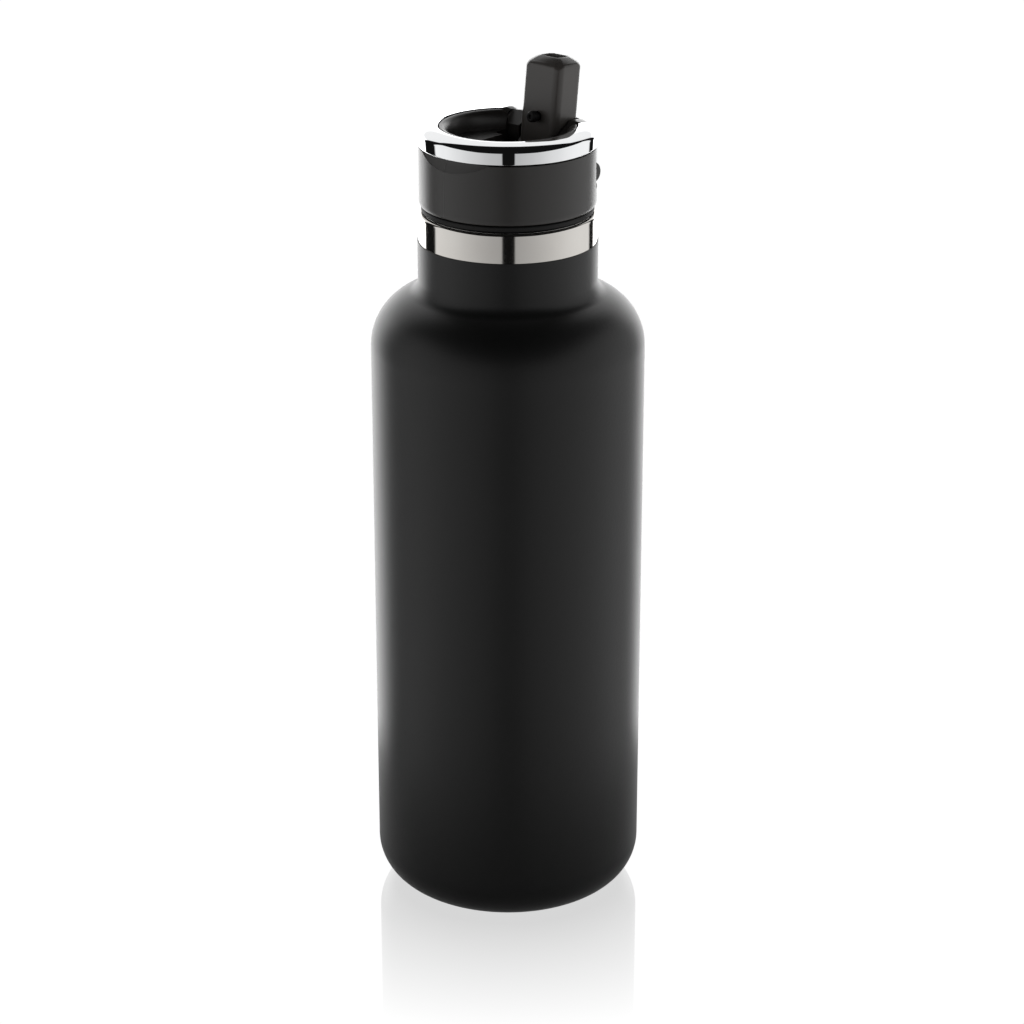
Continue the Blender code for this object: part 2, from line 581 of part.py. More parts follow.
def handle_ring(mat):
    """C-shaped ring with an ear at each end that reaches down to its pin."""
    outline = [(RING_INNER_R, RING_Z), (RING_R - EDGE, RING_Z), (RING_R, RING_Z + EDGE)]
    outline += rounded_top(RING_INNER_R + SOFT_EDGE, RING_R, RING_TOP_Z)
    outline += [(RING_INNER_R, RING_TOP_Z - SOFT_EDGE)]
    ring = turned("handle_ring", outline, mat)
    cut(ring, block("ring_opening", (-EAR_X, 0, 0), (EAR_X, FAR, HIGH)))
    for side, name in ((-1, "left"), (1, "right")):
        xs = sorted((side * EAR_X, side * (EAR_X + EAR_T)))
        join(ring, ear("ear_" + name, *xs))
    cut(ring, rod("ear_bores", (-FAR, HANDLE_PIVOT_Y, HANDLE_PIVOT_Z),
                  (FAR, HANDLE_PIVOT_Y, HANDLE_PIVOT_Z), HANDLE_PIN_R + GAP, sides=16))
    return ring


def ear(name, low_x, high_x):
    """Flat lug with a round lower end centred on the handle's pivot."""
    top_z = RING_Z + RING_FACE_H
    outline = [(HANDLE_PIVOT_Y + EAR_HALF_W, top_z), (HANDLE_PIVOT_Y - EAR_HALF_W, top_z)]
    outline += arc((HANDLE_PIVOT_Y, HANDLE_PIVOT_Z), EAR_HALF_W, 180, 360, 10)
    return side_prism(name, outline, low_x, high_x)


def handle_pin(name, side, mat):
    """Round-headed pin through an ear into the cheek."""
    shank = HANDLE_PIN_HOLD + EAR_T + 2 * GAP
    centre = (HANDLE_HEAD_R - HANDLE_HEAD_ROUND, HANDLE_HEAD_H - HANDLE_HEAD_ROUND)
    head = [(HANDLE_HEAD_R, 0)] + arc(centre, HANDLE_HEAD_ROUND, 0, 90, 3) + [(0, HANDLE_HEAD_H)]
    profile = [(0, -shank), (HANDLE_PIN_R, -shank), (HANDLE_PIN_R, 0)] + head
    place = (side * HANDLE_HEAD_X, HANDLE_PIVOT_Y, HANDLE_PIVOT_Z)
    return turned_at(name, profile, place, (side, 0, 0), mat)


# ---------------------------------------------------------------- spout

def place_on_spout(obj):
    """Lean a piece back about the spout's pivot."""
    obj.rotation_euler = (-SPOUT_LEAN, 0, 0)
    obj.location = (0, SPOUT_PIVOT_Y, SPOUT_PIVOT_Z)


def spout(mat):
    """Rounded rectangular tube on a barrel, with its bore, pin holes and plug hole."""
    tube = rounded_prism("spout", SPOUT_W / 2, -SPOUT_D / 2, SPOUT_D / 2, SPOUT_CORNER, 0, SPOUT_LEN)
    tube.data.materials.append(mat)
    place_on_spout(tube)
    barrel = rod("spout_barrel", (-SPOUT_W / 2, 0, 0), (SPOUT_W / 2, 0, 0), BARREL_R, sides=32)
    crown_z = SPOUT_LEN - SPOUT_CROWN_R
    outline = [(-SPOUT_CROWN_R, -FAR), (SPOUT_CROWN_R, -FAR)]
    outline += arc((0, crown_z), SPOUT_CROWN_R, 0, 180, 32)
    crown = side_prism("spout_crown", outline, -FAR, FAR)
    holes = [rod("spout_bore", (0, 0, -FAR), (0, 0, FAR), BORE_R)]
    grip_x = SPOUT_W / 2 - SPOUT_PIN_GRIP - GAP
    for side, name in ((-1, "left"), (1, "right")):
        holes.append(rod("spout_pin_hole_" + name, (side * grip_x, 0, 0), (side * FAR, 0, 0),
                         SPOUT_PIN_R + GAP, sides=16))
    plug_y = PLUG_ROOT + GAP - SPOUT_D / 2
    holes.append(rod("plug_hole", (0, -SPOUT_D, PLUG_UP), (0, plug_y, PLUG_UP), PLUG_STEM_R + GAP,
                     sides=16))
    for guide in (barrel, crown, *holes):
        place_on_spout(guide)
    join(tube, barrel)
    keep(tube, crown)
    for hole in holes:
        cut(tube, hole)
    return tube


def spout_pin(name, side, mat):
    """Short steel pin between the spout's barrel and a cheek."""
    inner_x = SPOUT_W / 2 - SPOUT_PIN_GRIP
    outer_x = CHEEK_X + SPOUT_PIN_HOLD
    pin = rod(name, (side * inner_x, 0, 0), (side * outer_x, 0, 0), SPOUT_PIN_R, mat, sides=16)
    pin.location = (0, SPOUT_PIVOT_Y, SPOUT_PIVOT_Z)
    return pin


def vent_plug(mat):
    """Soft mushroom plug on the spout's front, which closes the vent when the spout is folded."""
    neck = PLUG_ROOT + PLUG_NECK
    full = PLUG_ROOT + PLUG_LEN
    head = [(PLUG_HEAD_R * math.cos(t), full - PLUG_ROUND * (1 - math.sin(t)))
            for t in (math.pi / 2 * i / 4 for i in range(5))]
    profile = [(0, 0), (PLUG_STEM_R, 0), (PLUG_STEM_R, neck), (PLUG_HEAD_R, neck + PLUG_FLARE)] + head
    place = (0, PLUG_ROOT - SPOUT_D / 2, PLUG_UP)
    plug = turned_at("vent_plug", profile, place, (0, -1, 0), mat, sides=20)
    place_on_spout(plug)
    return plug


# ---------------------------------------------------------------- straw

def straw_socket(mat):
    """Soft sleeve hung in the stopper's plate, which grips the straw."""
    flange = (PLATE_TOP_Z + GAP, PLATE_TOP_Z + GAP + SOCKET_FLANGE_T)
    body_z = SKIRT_Z - GAP
    low = body_z - SOCKET_LEN
    sleeve_r = SOCKET_R - SOCKET_WALL
    sleeve_z = low + SOCKET_SLEEVE
    profile = [(BORE_R, flange[1]), (BORE_R, sleeve_z), (sleeve_r, sleeve_z), (sleeve_r, low),
               (SOCKET_R, low), (SOCKET_R, body_z), (SOCKET_NECK_R, body_z),
               (SOCKET_NECK_R, flange[0]), (SOCKET_R, flange[0]), (SOCKET_R, flange[1])]
    return turned_at("straw_socket", profile, (0, PORT_Y, 0), (0, 0, 1), mat)


def straw(mat):
    """Straight drinking straw from its socket down to the liner's floor."""
    low = LINER_FLOOR_Z + LINER_WALL + STRAW_FLOOR_CLEAR
    high = SKIRT_Z - GAP - SOCKET_LEN + SOCKET_SLEEVE - GAP
    inner = STRAW_R - STRAW_WALL
    profile = [(inner, low), (STRAW_R, low), (STRAW_R, high), (inner, high)]
    return turned_at("straw", profile, (0, PORT_Y, 0), (0, 0, 1), mat)


# ---------------------------------------------------------------- assembly

def move_origin(obj, point):
    """Put a piece's origin on its joint, leaving its shape where it is."""
    obj.data.transform(Matrix.Translation(-Vector(point)))
    obj.location = point


def build():
    for obj in list(bpy.data.objects):
        bpy.data.objects.remove(obj, do_unlink=True)

    coat = material("black_powder_coat", (0.022, 0.022, 0.023), 0.42, 0.2)
    steel = material("stainless_steel", (0.62, 0.61, 0.59), 0.28, 1.0)
    chrome = material("chrome_plate", (0.8, 0.8, 0.8), 0.06, 1.0)
    satin = material("satin_black_plastic", (0.03, 0.028, 0.027), 0.45)
    gloss = material("gloss_black_plastic", (0.018, 0.017, 0.017), 0.2)
    rubber = material("black_silicone", (0.02, 0.02, 0.02), 0.7)
    clear = material("milky_plastic", (0.8, 0.82, 0.82), 0.35)
    glass = material("solder_glass", (0.25, 0.25, 0.24), 0.3)

    outer_shell(coat)
    shell_bottom(steel)
    vacuum_seal(glass)
    getter(steel)
    base_disc(steel)
    inner_liner(steel)
    lid_gasket(rubber)
    lid_stopper(satin)
    lid_housing(satin)
    lid_deck(gloss)
    vent_valve(rubber)
    spout_seal(rubber)
    move_origin(handle_ring(chrome), (0, HANDLE_PIVOT_Y, HANDLE_PIVOT_Z))
    handle_pin("handle_pin_left", -1, satin)
    handle_pin("handle_pin_right", 1, satin)
    spout(satin)
    spout_pin("spout_pin_left", -1, steel)
    spout_pin("spout_pin_right", 1, steel)
    vent_plug(rubber)
    straw_socket(rubber)
    straw(clear)


build()
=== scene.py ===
"""Insulated steel bottle with a flip spout and a folding carry ring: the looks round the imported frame."""

import math

import bmesh
import bpy
from mathutils import Matrix, Vector


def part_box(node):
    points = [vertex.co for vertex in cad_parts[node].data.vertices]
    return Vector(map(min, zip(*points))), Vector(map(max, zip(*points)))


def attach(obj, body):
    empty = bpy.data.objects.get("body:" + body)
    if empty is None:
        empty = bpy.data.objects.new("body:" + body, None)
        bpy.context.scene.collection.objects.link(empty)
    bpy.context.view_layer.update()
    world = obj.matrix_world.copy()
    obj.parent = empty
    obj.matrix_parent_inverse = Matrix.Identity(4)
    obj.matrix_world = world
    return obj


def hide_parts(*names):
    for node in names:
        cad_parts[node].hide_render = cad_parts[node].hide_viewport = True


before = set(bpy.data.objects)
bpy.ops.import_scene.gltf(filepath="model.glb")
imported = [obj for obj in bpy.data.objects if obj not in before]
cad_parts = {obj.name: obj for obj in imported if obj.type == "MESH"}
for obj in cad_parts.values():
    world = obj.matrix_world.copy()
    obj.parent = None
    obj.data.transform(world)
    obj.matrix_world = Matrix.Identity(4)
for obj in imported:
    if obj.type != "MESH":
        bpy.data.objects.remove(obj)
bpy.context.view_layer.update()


# ---------------------------------------------------------------- steel vessel
# The outer vessel is drawn from stainless tube, then necked in and turned over at the mouth. The lip
# above the neck is left bare and polished. The inner face is mill finished and never seen.

MM = 0.001
BODY_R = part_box("outer_shell")[1].x
LIP_TOP_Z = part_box("outer_shell")[1].z
SHOULDER_CENTRE_R = 21.15 * MM
SHOULDER_Z = 156.8 * MM
SHOULDER_SLOPE = math.radians(22.2)
BASE_CORNER_R = 11.8 * MM
NECK_R = 23.8 * MM
NECK_FILLET_R = 4.2 * MM
COAT_TOP_Z = 185.7 * MM
COAT_T = 0.22 * MM
LIP_R = 23.55 * MM
LIP_WALL = 1.1 * MM
STEEL_WALL = 0.8 * MM
FOOT_R = 19.5 * MM
GAP = 0.3 * MM  # between pieces that touch
FACETS = 256
LOW = 0.1  # below and above the whole lid, for tools
HIGH = 0.3
NO_SIZE = 1e-7
SHARP = math.radians(32)
ARC_STEP = math.radians(5)


class Wire:
    """A value on a node tree. Arithmetic on wires adds Math nodes."""

    def __init__(self, tree, socket):
        self.tree = tree
        self.socket = socket

    def math(self, operation, first, second):
        return self.tree.node("ShaderNodeMath", {"operation": operation}, {0: first, 1: second})

    def __add__(self, other):
        return self.math("ADD", self, other)

    def __radd__(self, other):
        return self.math("ADD", other, self)

    def __sub__(self, other):
        return self.math("SUBTRACT", self, other)

    def __rsub__(self, other):
        return self.math("SUBTRACT", other, self)

    def __mul__(self, other):
        return self.math("MULTIPLY", self, other)

    def __rmul__(self, other):
        return self.math("MULTIPLY", other, self)

    def __truediv__(self, other):
        return self.math("DIVIDE", self, other)

    def __abs__(self):
        return self.math("ABSOLUTE", self, 0)


class Tree:
    """A node tree with one way to add a node: its type, its settings, then its sockets."""

    def __init__(self, nodes):
        nodes.nodes.clear()
        self.nodes = nodes

    def node(self, kind, settings=None, sockets=None, output=0):
        new = self.nodes.nodes.new(kind)
        for name, value in (settings or {}).items():
            setattr(new, name, value)
        for name, value in (sockets or {}).items():
            if isinstance(value, Wire):
                self.nodes.links.new(value.socket, new.inputs[name])
            else:
                new.inputs[name].default_value = value
        return Wire(self, new.outputs[output] if len(new.outputs) else None)

    def step(self, value, low, high):
        """Smooth step from 0 at low to 1 at high."""
        return self.node("ShaderNodeMapRange", {"interpolation_type": "SMOOTHSTEP"},
                         {"Value": value, "From Min": low, "From Max": high})


class Finish(Tree):
    """A material for one finish of the bottle, with the patterns that its surface needs."""

    def __init__(self, name):
        self.material = bpy.data.materials.new(name)
        self.material.use_nodes = True
        super().__init__(self.material.node_tree)
        self.place = self.node("ShaderNodeTexCoord", output=3)

    def axis(self, name):
        """One coordinate of the piece's own frame, in metres."""
        return self.node("ShaderNodeSeparateXYZ", None, {0: self.place}, output="XYZ".index(name))

    def grain(self, size, detail=2.0, roughness=0.5, stretch=(1, 1, 1)):
        """Noise whose features are about one size across, from 0 to 1."""
        place = self.node("ShaderNodeMapping", None, {"Vector": self.place, "Scale": stretch})
        return self.node("ShaderNodeTexNoise", None, {"Vector": place, "Scale": 1 / size, "Detail": detail,
                                                      "Roughness": roughness})

    def blend(self, share, first, second):
        """Mix of two colours."""
        return self.node("ShaderNodeMix", {"data_type": "RGBA"},
                         {"Factor": share, 6: (*first, 1), 7: (*second, 1)}, output=2)

    def raised(self, height, depth, below=None):
        """Bump of a height from 0 to 1, in metres from trough to crest, over another bump."""
        sockets = {"Height": height, "Distance": depth, "Strength": 1.0}
        if below:
            sockets["Normal"] = below
        return self.node("ShaderNodeBump", None, sockets)

    def surface(self, colour, roughness, normal, **constants):
        """Ends the material in its shader."""
        sockets = {"Base Color": colour if isinstance(colour, Wire) else (*colour, 1),
                   "Roughness": roughness, "Normal": normal}
        sockets.update({name.replace("_", " "): value for name, value in constants.items()})
        shader = self.node("ShaderNodeBsdfPrincipled", None, sockets)
        self.node("ShaderNodeOutputMaterial", None, {"Surface": shader})
        return self.material


def polished_steel():
    """Buffed stainless steel: nearly a mirror, with fine rings left by the wheel and faint smears."""
    made = Finish("polished_steel")
    rings = made.grain(0.12 * MM, stretch=(0.02, 0.02, 1))
    smear = made.grain(9 * MM, detail=3)
    colour = made.blend(smear, (0.6, 0.575, 0.54), (0.66, 0.64, 0.61))
    return made.surface(colour, 0.045 + 0.05 * smear + 0.03 * rings, made.raised(rings, 0.0004 * MM),
                        Metallic=1.0)


def brushed_steel():
    """Mill-finished stainless steel with the fine rings of a lathe or a brush."""
    made = Finish("brushed_steel")
    rings = made.grain(0.16 * MM, detail=4, stretch=(0.03, 0.03, 1))
    patch = made.grain(14 * MM, detail=3)
    colour = made.blend(patch, (0.52, 0.51, 0.49), (0.64, 0.63, 0.61))
    return made.surface(colour, 0.24 + 0.12 * rings + 0.06 * patch, made.raised(rings, 0.004 * MM),
                        Metallic=1.0)


def softened(corners):
    """Outline through corners (r, z, radius), each rounded by an arc of its radius."""
    points = []
    for i, (r, z, radius) in enumerate(corners):
        here = Vector((r, z))
        if not radius:
            points.append((r, z))
            continue
        back = (Vector(corners[i - 1][:2]) - here).normalized()
        ahead = (Vector(corners[(i + 1) % len(corners)][:2]) - here).normalized()
        half = back.angle(ahead) / 2
        centre = here + (back + ahead).normalized() * radius / math.sin(half)
        start = here + back * radius / math.tan(half) - centre
        sweep = (math.pi - 2 * half) * (1 if back.cross(ahead) < 0 else -1)
        steps = max(3, math.ceil(abs(sweep) / ARC_STEP))
        for k in range(steps + 1):
            turned_by = Matrix.Rotation(sweep * k / steps, 2)
            points.append(tuple(centre + turned_by @ start))
    return points


def settled(obj):
    """The object with its modifiers worked into a plain mesh: doubles merged, faces out, edges kept."""
    graph = bpy.context.evaluated_depsgraph_get()
    mesh = bpy.data.meshes.new_from_object(obj.evaluated_get(graph))
    shape = bmesh.new()
    shape.from_mesh(mesh)
    bmesh.ops.remove_doubles(shape, verts=shape.verts, dist=NO_SIZE)
    bmesh.ops.dissolve_degenerate(shape, edges=shape.edges, dist=NO_SIZE)
    bmesh.ops.recalc_face_normals(shape, faces=shape.faces)
    shape.to_mesh(mesh)
    shape.free()
    mesh.shade_smooth()
    mesh.set_sharp_from_angle(angle=SHARP)
    obj.modifiers.clear()
    obj.data = mesh
    return obj


def placed(name, mesh, finish=None):
    """Object for a mesh, linked to the scene."""
    obj = bpy.data.objects.new(name, mesh)
    bpy.context.scene.collection.objects.link(obj)
    if finish:
        mesh.materials.clear()
        mesh.materials.append(finish)
    return obj


def kept(shape, name, finish=None):
    """Object for a finished bmesh, which is freed."""
    mesh = bpy.data.meshes.new(name)
    shape.to_mesh(mesh)
    shape.free()
    return placed(name, mesh, finish)


def grow_tree(name, kinds):
    """Geometry tree with named inputs, with the wires and the identifiers of its inputs."""
    group = bpy.data.node_groups.new(name, "GeometryNodeTree")
    tree = Tree(group)
    group.interface.new_socket(name="Geometry", in_out="INPUT", socket_type="NodeSocketGeometry")
    keys = {}
    for label, kind in kinds.items():
        made = group.interface.new_socket(name=label, in_out="INPUT", socket_type="NodeSocket" + kind)
        keys[label] = made.identifier
    group.interface.new_socket(name="Geometry", in_out="OUTPUT", socket_type="NodeSocketGeometry")
    entry = group.nodes.new("NodeGroupInput")
    wires = {socket.name: Wire(tree, socket) for socket in entry.outputs if socket.name}
    return tree, wires, keys


def finish_tree(tree, geometry, material):
    """Ends a geometry tree: instances realised, then the material."""
    real = tree.node("GeometryNodeRealizeInstances", None, {"Geometry": geometry})
    painted = tree.node("GeometryNodeSetMaterial", None, {"Geometry": real, "Material": material})
    tree.node("NodeGroupOutput", None, {"Geometry": painted})


def run_tree(obj, tree, keys, values):
    """Runs a geometry tree on an object and keeps the plain mesh."""
    change = obj.modifiers.new(tree.nodes.name, "NODES")
    change.node_group = tree.nodes
    for label, value in values.items():
        change[keys[label]] = value
    return settled(obj)


turning, turning_in, turning_keys = grow_tree(
    "turning", {"Facets": "Int", "Spindle": "Float", "Finish": "Material"})
outline = turning.node("GeometryNodeMeshToCurve", None, {"Mesh": turning_in["Geometry"]})
spindle = turning.node("GeometryNodeCurvePrimitiveCircle", None,
                       {"Resolution": turning_in["Facets"], "Radius": turning_in["Spindle"]})
skin = turning.node("GeometryNodeCurveToMesh", None, {"Curve": spindle, "Profile Curve": outline})
finish_tree(turning, skin, turning_in["Finish"])
SPINDLE = 1 * MM  # the outline is swept round a thin circle and starts from its radius


def vessel_turned(name, corners, finish):
    """Closed vessel wall turned from its section by the turning tree."""
    section = [(r - SPINDLE, -z, 0) for r, z in softened(corners)]
    mesh = bpy.data.meshes.new(name)
    mesh.from_pydata(section, [(i, (i + 1) % len(section)) for i in range(len(section))], [])
    return run_tree(placed(name, mesh), turning, turning_keys,
                    {"Facets": FACETS, "Spindle": SPINDLE, "Finish": finish})


def vessel_corners(inset, floor_z, neck_r, foot_r):
    """Corners of a vessel's face from its foot to its neck, a given distance inside the outer face."""
    wall_r = BODY_R - inset
    shoulder_r = BODY_R - SHOULDER_CENTRE_R - inset

    def slope_z(r):
        across = (r - SHOULDER_CENTRE_R) * math.sin(SHOULDER_SLOPE)
        return SHOULDER_Z + (shoulder_r - across) / math.cos(SHOULDER_SLOPE)

    return [(foot_r, floor_z, 0), (wall_r, floor_z, max(BASE_CORNER_R - inset, 2 * MM)),
            (wall_r, slope_z(wall_r), shoulder_r),
            (neck_r, slope_z(neck_r), NECK_FILLET_R + NECK_R - neck_r)]


steel_bright = polished_steel()
steel_dull = brushed_steel()
under_in = COAT_T + 0.02 * MM
under_coat = vessel_corners(under_in, under_in, LIP_R, FOOT_R)
lip = [(LIP_R, LIP_TOP_Z, 0.8 * MM), (LIP_R - LIP_WALL, LIP_TOP_Z, 0.15 * MM)]
bore = vessel_corners(STEEL_WALL, STEEL_WALL, LIP_R - LIP_WALL, FOOT_R)
steel_vessel = vessel_turned("steel_vessel", under_coat + lip + bore[::-1], steel_bright)
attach(steel_vessel, "bottle")
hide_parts("outer_shell")


# ---------------------------------------------------------------- powder coat
# The vessel is sprayed with black polyester powder and baked. The coat runs from the foot up to a
# masked line below the lip, where its edge stands a quarter of a millimetre proud of the steel.

def powder_coat():
    """Satin black powder coat: orange peel, a finer pebble on top, and faint rubbed patches."""
    made = Finish("black_powder_coat")
    peel = made.grain(0.85 * MM, detail=2)
    pebble = made.grain(0.22 * MM, detail=3, roughness=0.6)
    rubbed = made.grain(22 * MM, detail=4)
    colour = made.blend(rubbed, (0.003, 0.003, 0.0031), (0.005, 0.005, 0.0051))
    normal = made.raised(pebble, 0.007 * MM, made.raised(peel, 0.016 * MM))
    return made.surface(colour, 0.36 + 0.05 * rubbed + 0.07 * pebble, normal, Specular_IOR_Level=0.34,
                        Sheen_Weight=0.36, Sheen_Roughness=0.35)


coat_black = powder_coat()
coat_face = vessel_corners(0, 0, NECK_R, FOOT_R) + [(NECK_R, COAT_TOP_Z, 0.14 * MM)]
coat_back = vessel_corners(COAT_T, COAT_T, NECK_R - COAT_T, FOOT_R) + [(NECK_R - COAT_T, COAT_TOP_Z, 0)]
coat = vessel_turned("powder_coat", coat_face + coat_back[::-1], coat_black)
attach(coat, "bottle")
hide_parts("outer_shell")


# ---------------------------------------------------------------- bottom
# A pressed disc closes the outer vessel. The air is pumped out through the hole in its dimple, and a
# bead of solder glass seals it. A getter capsule soaks up stray gas. A spun disc covers the foot.

def turned(name, corners, finish, facets=FACETS):
    """Solid turned about Z from the corners of its section, poles closed."""
    shape = bmesh.new()
    ring = [shape.verts.new((r, 0, z)) for r, z in softened(corners)]
    edges = [shape.edges.new((ring[i - 1], ring[i])) for i in range(len(ring))]
    bmesh.ops.spin(shape, geom=ring + edges, cent=(0, 0, 0), axis=(0, 0, 1), angle=2 * math.pi, steps=facets)
    bmesh.ops.remove_doubles(shape, verts=shape.verts, dist=NO_SIZE)
    on_axis = [f for f in shape.faces if all(math.hypot(v.co.x, v.co.y) < NO_SIZE for v in f.verts)]
    bmesh.ops.delete(shape, geom=on_axis, context="FACES")
    return settled(kept(shape, name, finish))


def stood(obj, point, axis=(0, 0, 1)):
    """The object with its mesh turned so that Z is the given axis, through a point."""
    turn = Vector(axis).to_track_quat("Z", "Y").to_matrix().to_4x4()
    obj.data.transform(Matrix.Translation(point) @ turn)
    return obj


def solder_glass():
    """Grey solder glass, glossy, with a few bubbles under its skin."""
    made = Finish("solder_glass")
    bubbles = made.grain(0.4 * MM, detail=2)
    colour = made.blend(bubbles, (0.18, 0.18, 0.17), (0.3, 0.3, 0.29))
    return made.surface(colour, 0.15 + 0.1 * bubbles, made.raised(bubbles, 0.01 * MM))


disc_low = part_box("shell_bottom")[0].z
bottom_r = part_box("shell_bottom")[1].x
HOLE_R = 1.2 * MM
DIMPLE_R = 6 * MM
DIMPLE_H = 1.5 * MM
shell_bottom = turned("pressed_bottom", [
    (HOLE_R, disc_low + DIMPLE_H, 0), (DIMPLE_R - 2 * MM, disc_low + DIMPLE_H, 0.8 * MM),
    (DIMPLE_R, disc_low, 0.8 * MM), (bottom_r, disc_low, 0), (bottom_r, disc_low + STEEL_WALL, 0),
    (DIMPLE_R + 0.5 * MM, disc_low + STEEL_WALL, 0.5 * MM),
    (DIMPLE_R - 1.5 * MM, disc_low + DIMPLE_H + STEEL_WALL, 0.5 * MM),
    (HOLE_R, disc_low + DIMPLE_H + STEEL_WALL, 0)], steel_dull)
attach(shell_bottom, "bottle")
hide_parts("shell_bottom")

seal_low, seal_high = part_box("vacuum_seal")
bead_h = seal_high.z - seal_low.z
bead = turned("glass_bead", [
    (0, seal_low.z, 0), (seal_high.x * 0.7, seal_low.z, 0.4 * MM),
    (seal_high.x, seal_low.z + bead_h * 0.6, 0.3 * MM), (seal_high.x, seal_high.z, 0), (0, seal_high.z, 0)],
    solder_glass(), facets=64)
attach(bead, "bottle")
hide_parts("vacuum_seal")

getter_low, getter_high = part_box("getter")
cup_r = (getter_high.x - getter_low.x) / 2
cup_h = getter_high.z - getter_low.z
cup = turned("getter_cup", [
    (0, 0, 0), (cup_r, 0, 0.5 * MM), (cup_r, cup_h, 0.25 * MM), (cup_r - 0.8 * MM, cup_h, 0.25 * MM),
    (cup_r - 0.8 * MM, cup_h / 2, 0.2 * MM), (0, cup_h / 2, 0)], steel_dull, facets=96)
stood(cup, ((getter_low.x + getter_high.x) / 2, 0, getter_low.z))
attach(cup, "bottle")
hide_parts("getter")

cover_low, cover_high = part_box("base_disc")
cover_r = cover_high.x
foot_cover = turned("foot_cover", [
    (0, cover_low.z, 0), (cover_r * 0.6, cover_low.z, 0), (cover_r * 0.62, cover_low.z + 0.12 * MM, 0.1 * MM),
    (cover_r * 0.66, cover_low.z + 0.12 * MM, 0.1 * MM), (cover_r * 0.68, cover_low.z, 0),
    (cover_r, cover_low.z, 0.25 * MM), (cover_r, cover_high.z, 0), (0, cover_high.z, 0)], steel_dull)
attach(foot_cover, "bottle")
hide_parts("base_disc")


# ---------------------------------------------------------------- inner liner
# The inner vessel hangs in the outer one from its flared mouth, welded at the lip, with a vacuum
# between them. Its neck carries a rolled thread that the lid screws into.

THREAD_PITCH = 4 * MM
THREAD_TURNS = 1.25
THREAD_DEPTH = 1 * MM
THREAD_SUNK = 0.2 * MM
THREAD_Z = 181.2 * MM
LINER_WALL = 0.5 * MM
LINER_NECK_R = LIP_R - LIP_WALL - 0.9 * MM
LINER_INSET = STEEL_WALL + 2.4 * MM
liner_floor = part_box("inner_liner")[0].z
mouth_r = LIP_R - LIP_WALL - GAP
flare_z = LIP_TOP_Z - 2.2 * MM

ridge, ridge_in, ridge_keys = grow_tree("rolled_thread", {
    "Facets": "Int", "Turns": "Float", "Radius": "Float", "Rise": "Float", "Depth": "Float",
    "Root": "Float", "Crest": "Float", "Side": "Float", "Finish": "Material"})
helix = ridge.node("GeometryNodeCurveSpiral", None, {
    "Resolution": ridge_in["Facets"], "Rotations": ridge_in["Turns"], "Start Radius": ridge_in["Radius"],
    "End Radius": ridge_in["Radius"], "Height": ridge_in["Rise"], "Reverse": True})
upright = ridge.node("GeometryNodeSetCurveNormal", {"mode": "Z_UP"}, {"Curve": helix})
along = ridge.node("GeometryNodeSplineParameter")
run_out = ridge.node("ShaderNodeMath", {"operation": "MINIMUM"}, {0: 8 * along, 1: 8 * (1 - along)})
fade = ridge.node("ShaderNodeClamp", None, {"Value": run_out, "Min": 0.15, "Max": 1.0})
tooth = ridge.node("GeometryNodeCurvePrimitiveQuadrilateral", {"mode": "TRAPEZOID"}, {
    "Bottom Width": ridge_in["Root"], "Top Width": ridge_in["Crest"], "Height": ridge_in["Depth"],
    "Offset": 0.0})
lifted = ridge.node("GeometryNodeTransform", None, {
    "Geometry": tooth, "Translation": ridge.node("ShaderNodeCombineXYZ", None, {
        "Y": ridge_in["Depth"] / 2})})
sideways = ridge.node("GeometryNodeTransform", None, {
    "Geometry": lifted, "Rotation": ridge.node("ShaderNodeCombineXYZ", None, {"Z": ridge_in["Side"]})})
coil = ridge.node("GeometryNodeCurveToMesh", None, {
    "Curve": upright, "Profile Curve": sideways, "Scale": fade, "Fill Caps": True})
finish_tree(ridge, coil, ridge_in["Finish"])


def thread_ridge(name, radius, low_z, outward, finish):
    """Helical ridge on a cylinder, run out at both ends, with its foot sunk in the wall."""
    side = 1 if outward else -1
    start = placed(name, bpy.data.meshes.new(name))
    coil_obj = run_tree(start, ridge, ridge_keys, {
        "Facets": 160, "Turns": THREAD_TURNS, "Radius": radius - side * THREAD_SUNK,
        "Rise": THREAD_PITCH * THREAD_TURNS, "Depth": THREAD_DEPTH + THREAD_SUNK, "Root": 1.6 * MM,
        "Crest": 0.8 * MM, "Side": -side * math.pi / 2, "Finish": finish})
    coil_obj.data.transform(Matrix.Translation((0, 0, low_z)))
    return coil_obj


def worked(target, operation, *tools):
    """The target after a boolean with each tool. The tools are used up."""
    for tool in tools:
        change = target.modifiers.new(tool.name, "BOOLEAN")
        change.operation = operation
        change.solver = "EXACT"
        change.object = tool
    settled(target)
    for tool in tools:
        bpy.data.objects.remove(tool)
    return target


liner_out = vessel_corners(LINER_INSET, liner_floor, LINER_NECK_R, 0)
liner_in = vessel_corners(LINER_INSET + LINER_WALL, liner_floor + LINER_WALL, LINER_NECK_R - LINER_WALL, 0)
flare_low = flare_z - (mouth_r - LINER_NECK_R)
liner = turned("steel_liner", liner_out + [
    (LINER_NECK_R, flare_low, 0.8 * MM), (mouth_r, flare_z, 0.8 * MM), (mouth_r, LIP_TOP_Z, 0.15 * MM),
    (mouth_r - LINER_WALL, LIP_TOP_Z, 0.2 * MM), (mouth_r - LINER_WALL, flare_z, 0.8 * MM),
    (LINER_NECK_R - LINER_WALL, flare_low, 0.8 * MM)] + liner_in[::-1], steel_dull, facets=192)
worked(liner, "UNION", thread_ridge("liner_ridge", LINER_NECK_R - LINER_WALL, THREAD_Z, False, steel_dull))
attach(liner, "bottle")
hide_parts("inner_liner")


# ---------------------------------------------------------------- gasket
# A flat ring of black silicone sits round the stopper, between the bottle's lip and the lid. It is
# moulded in one piece and held by its own stretch.

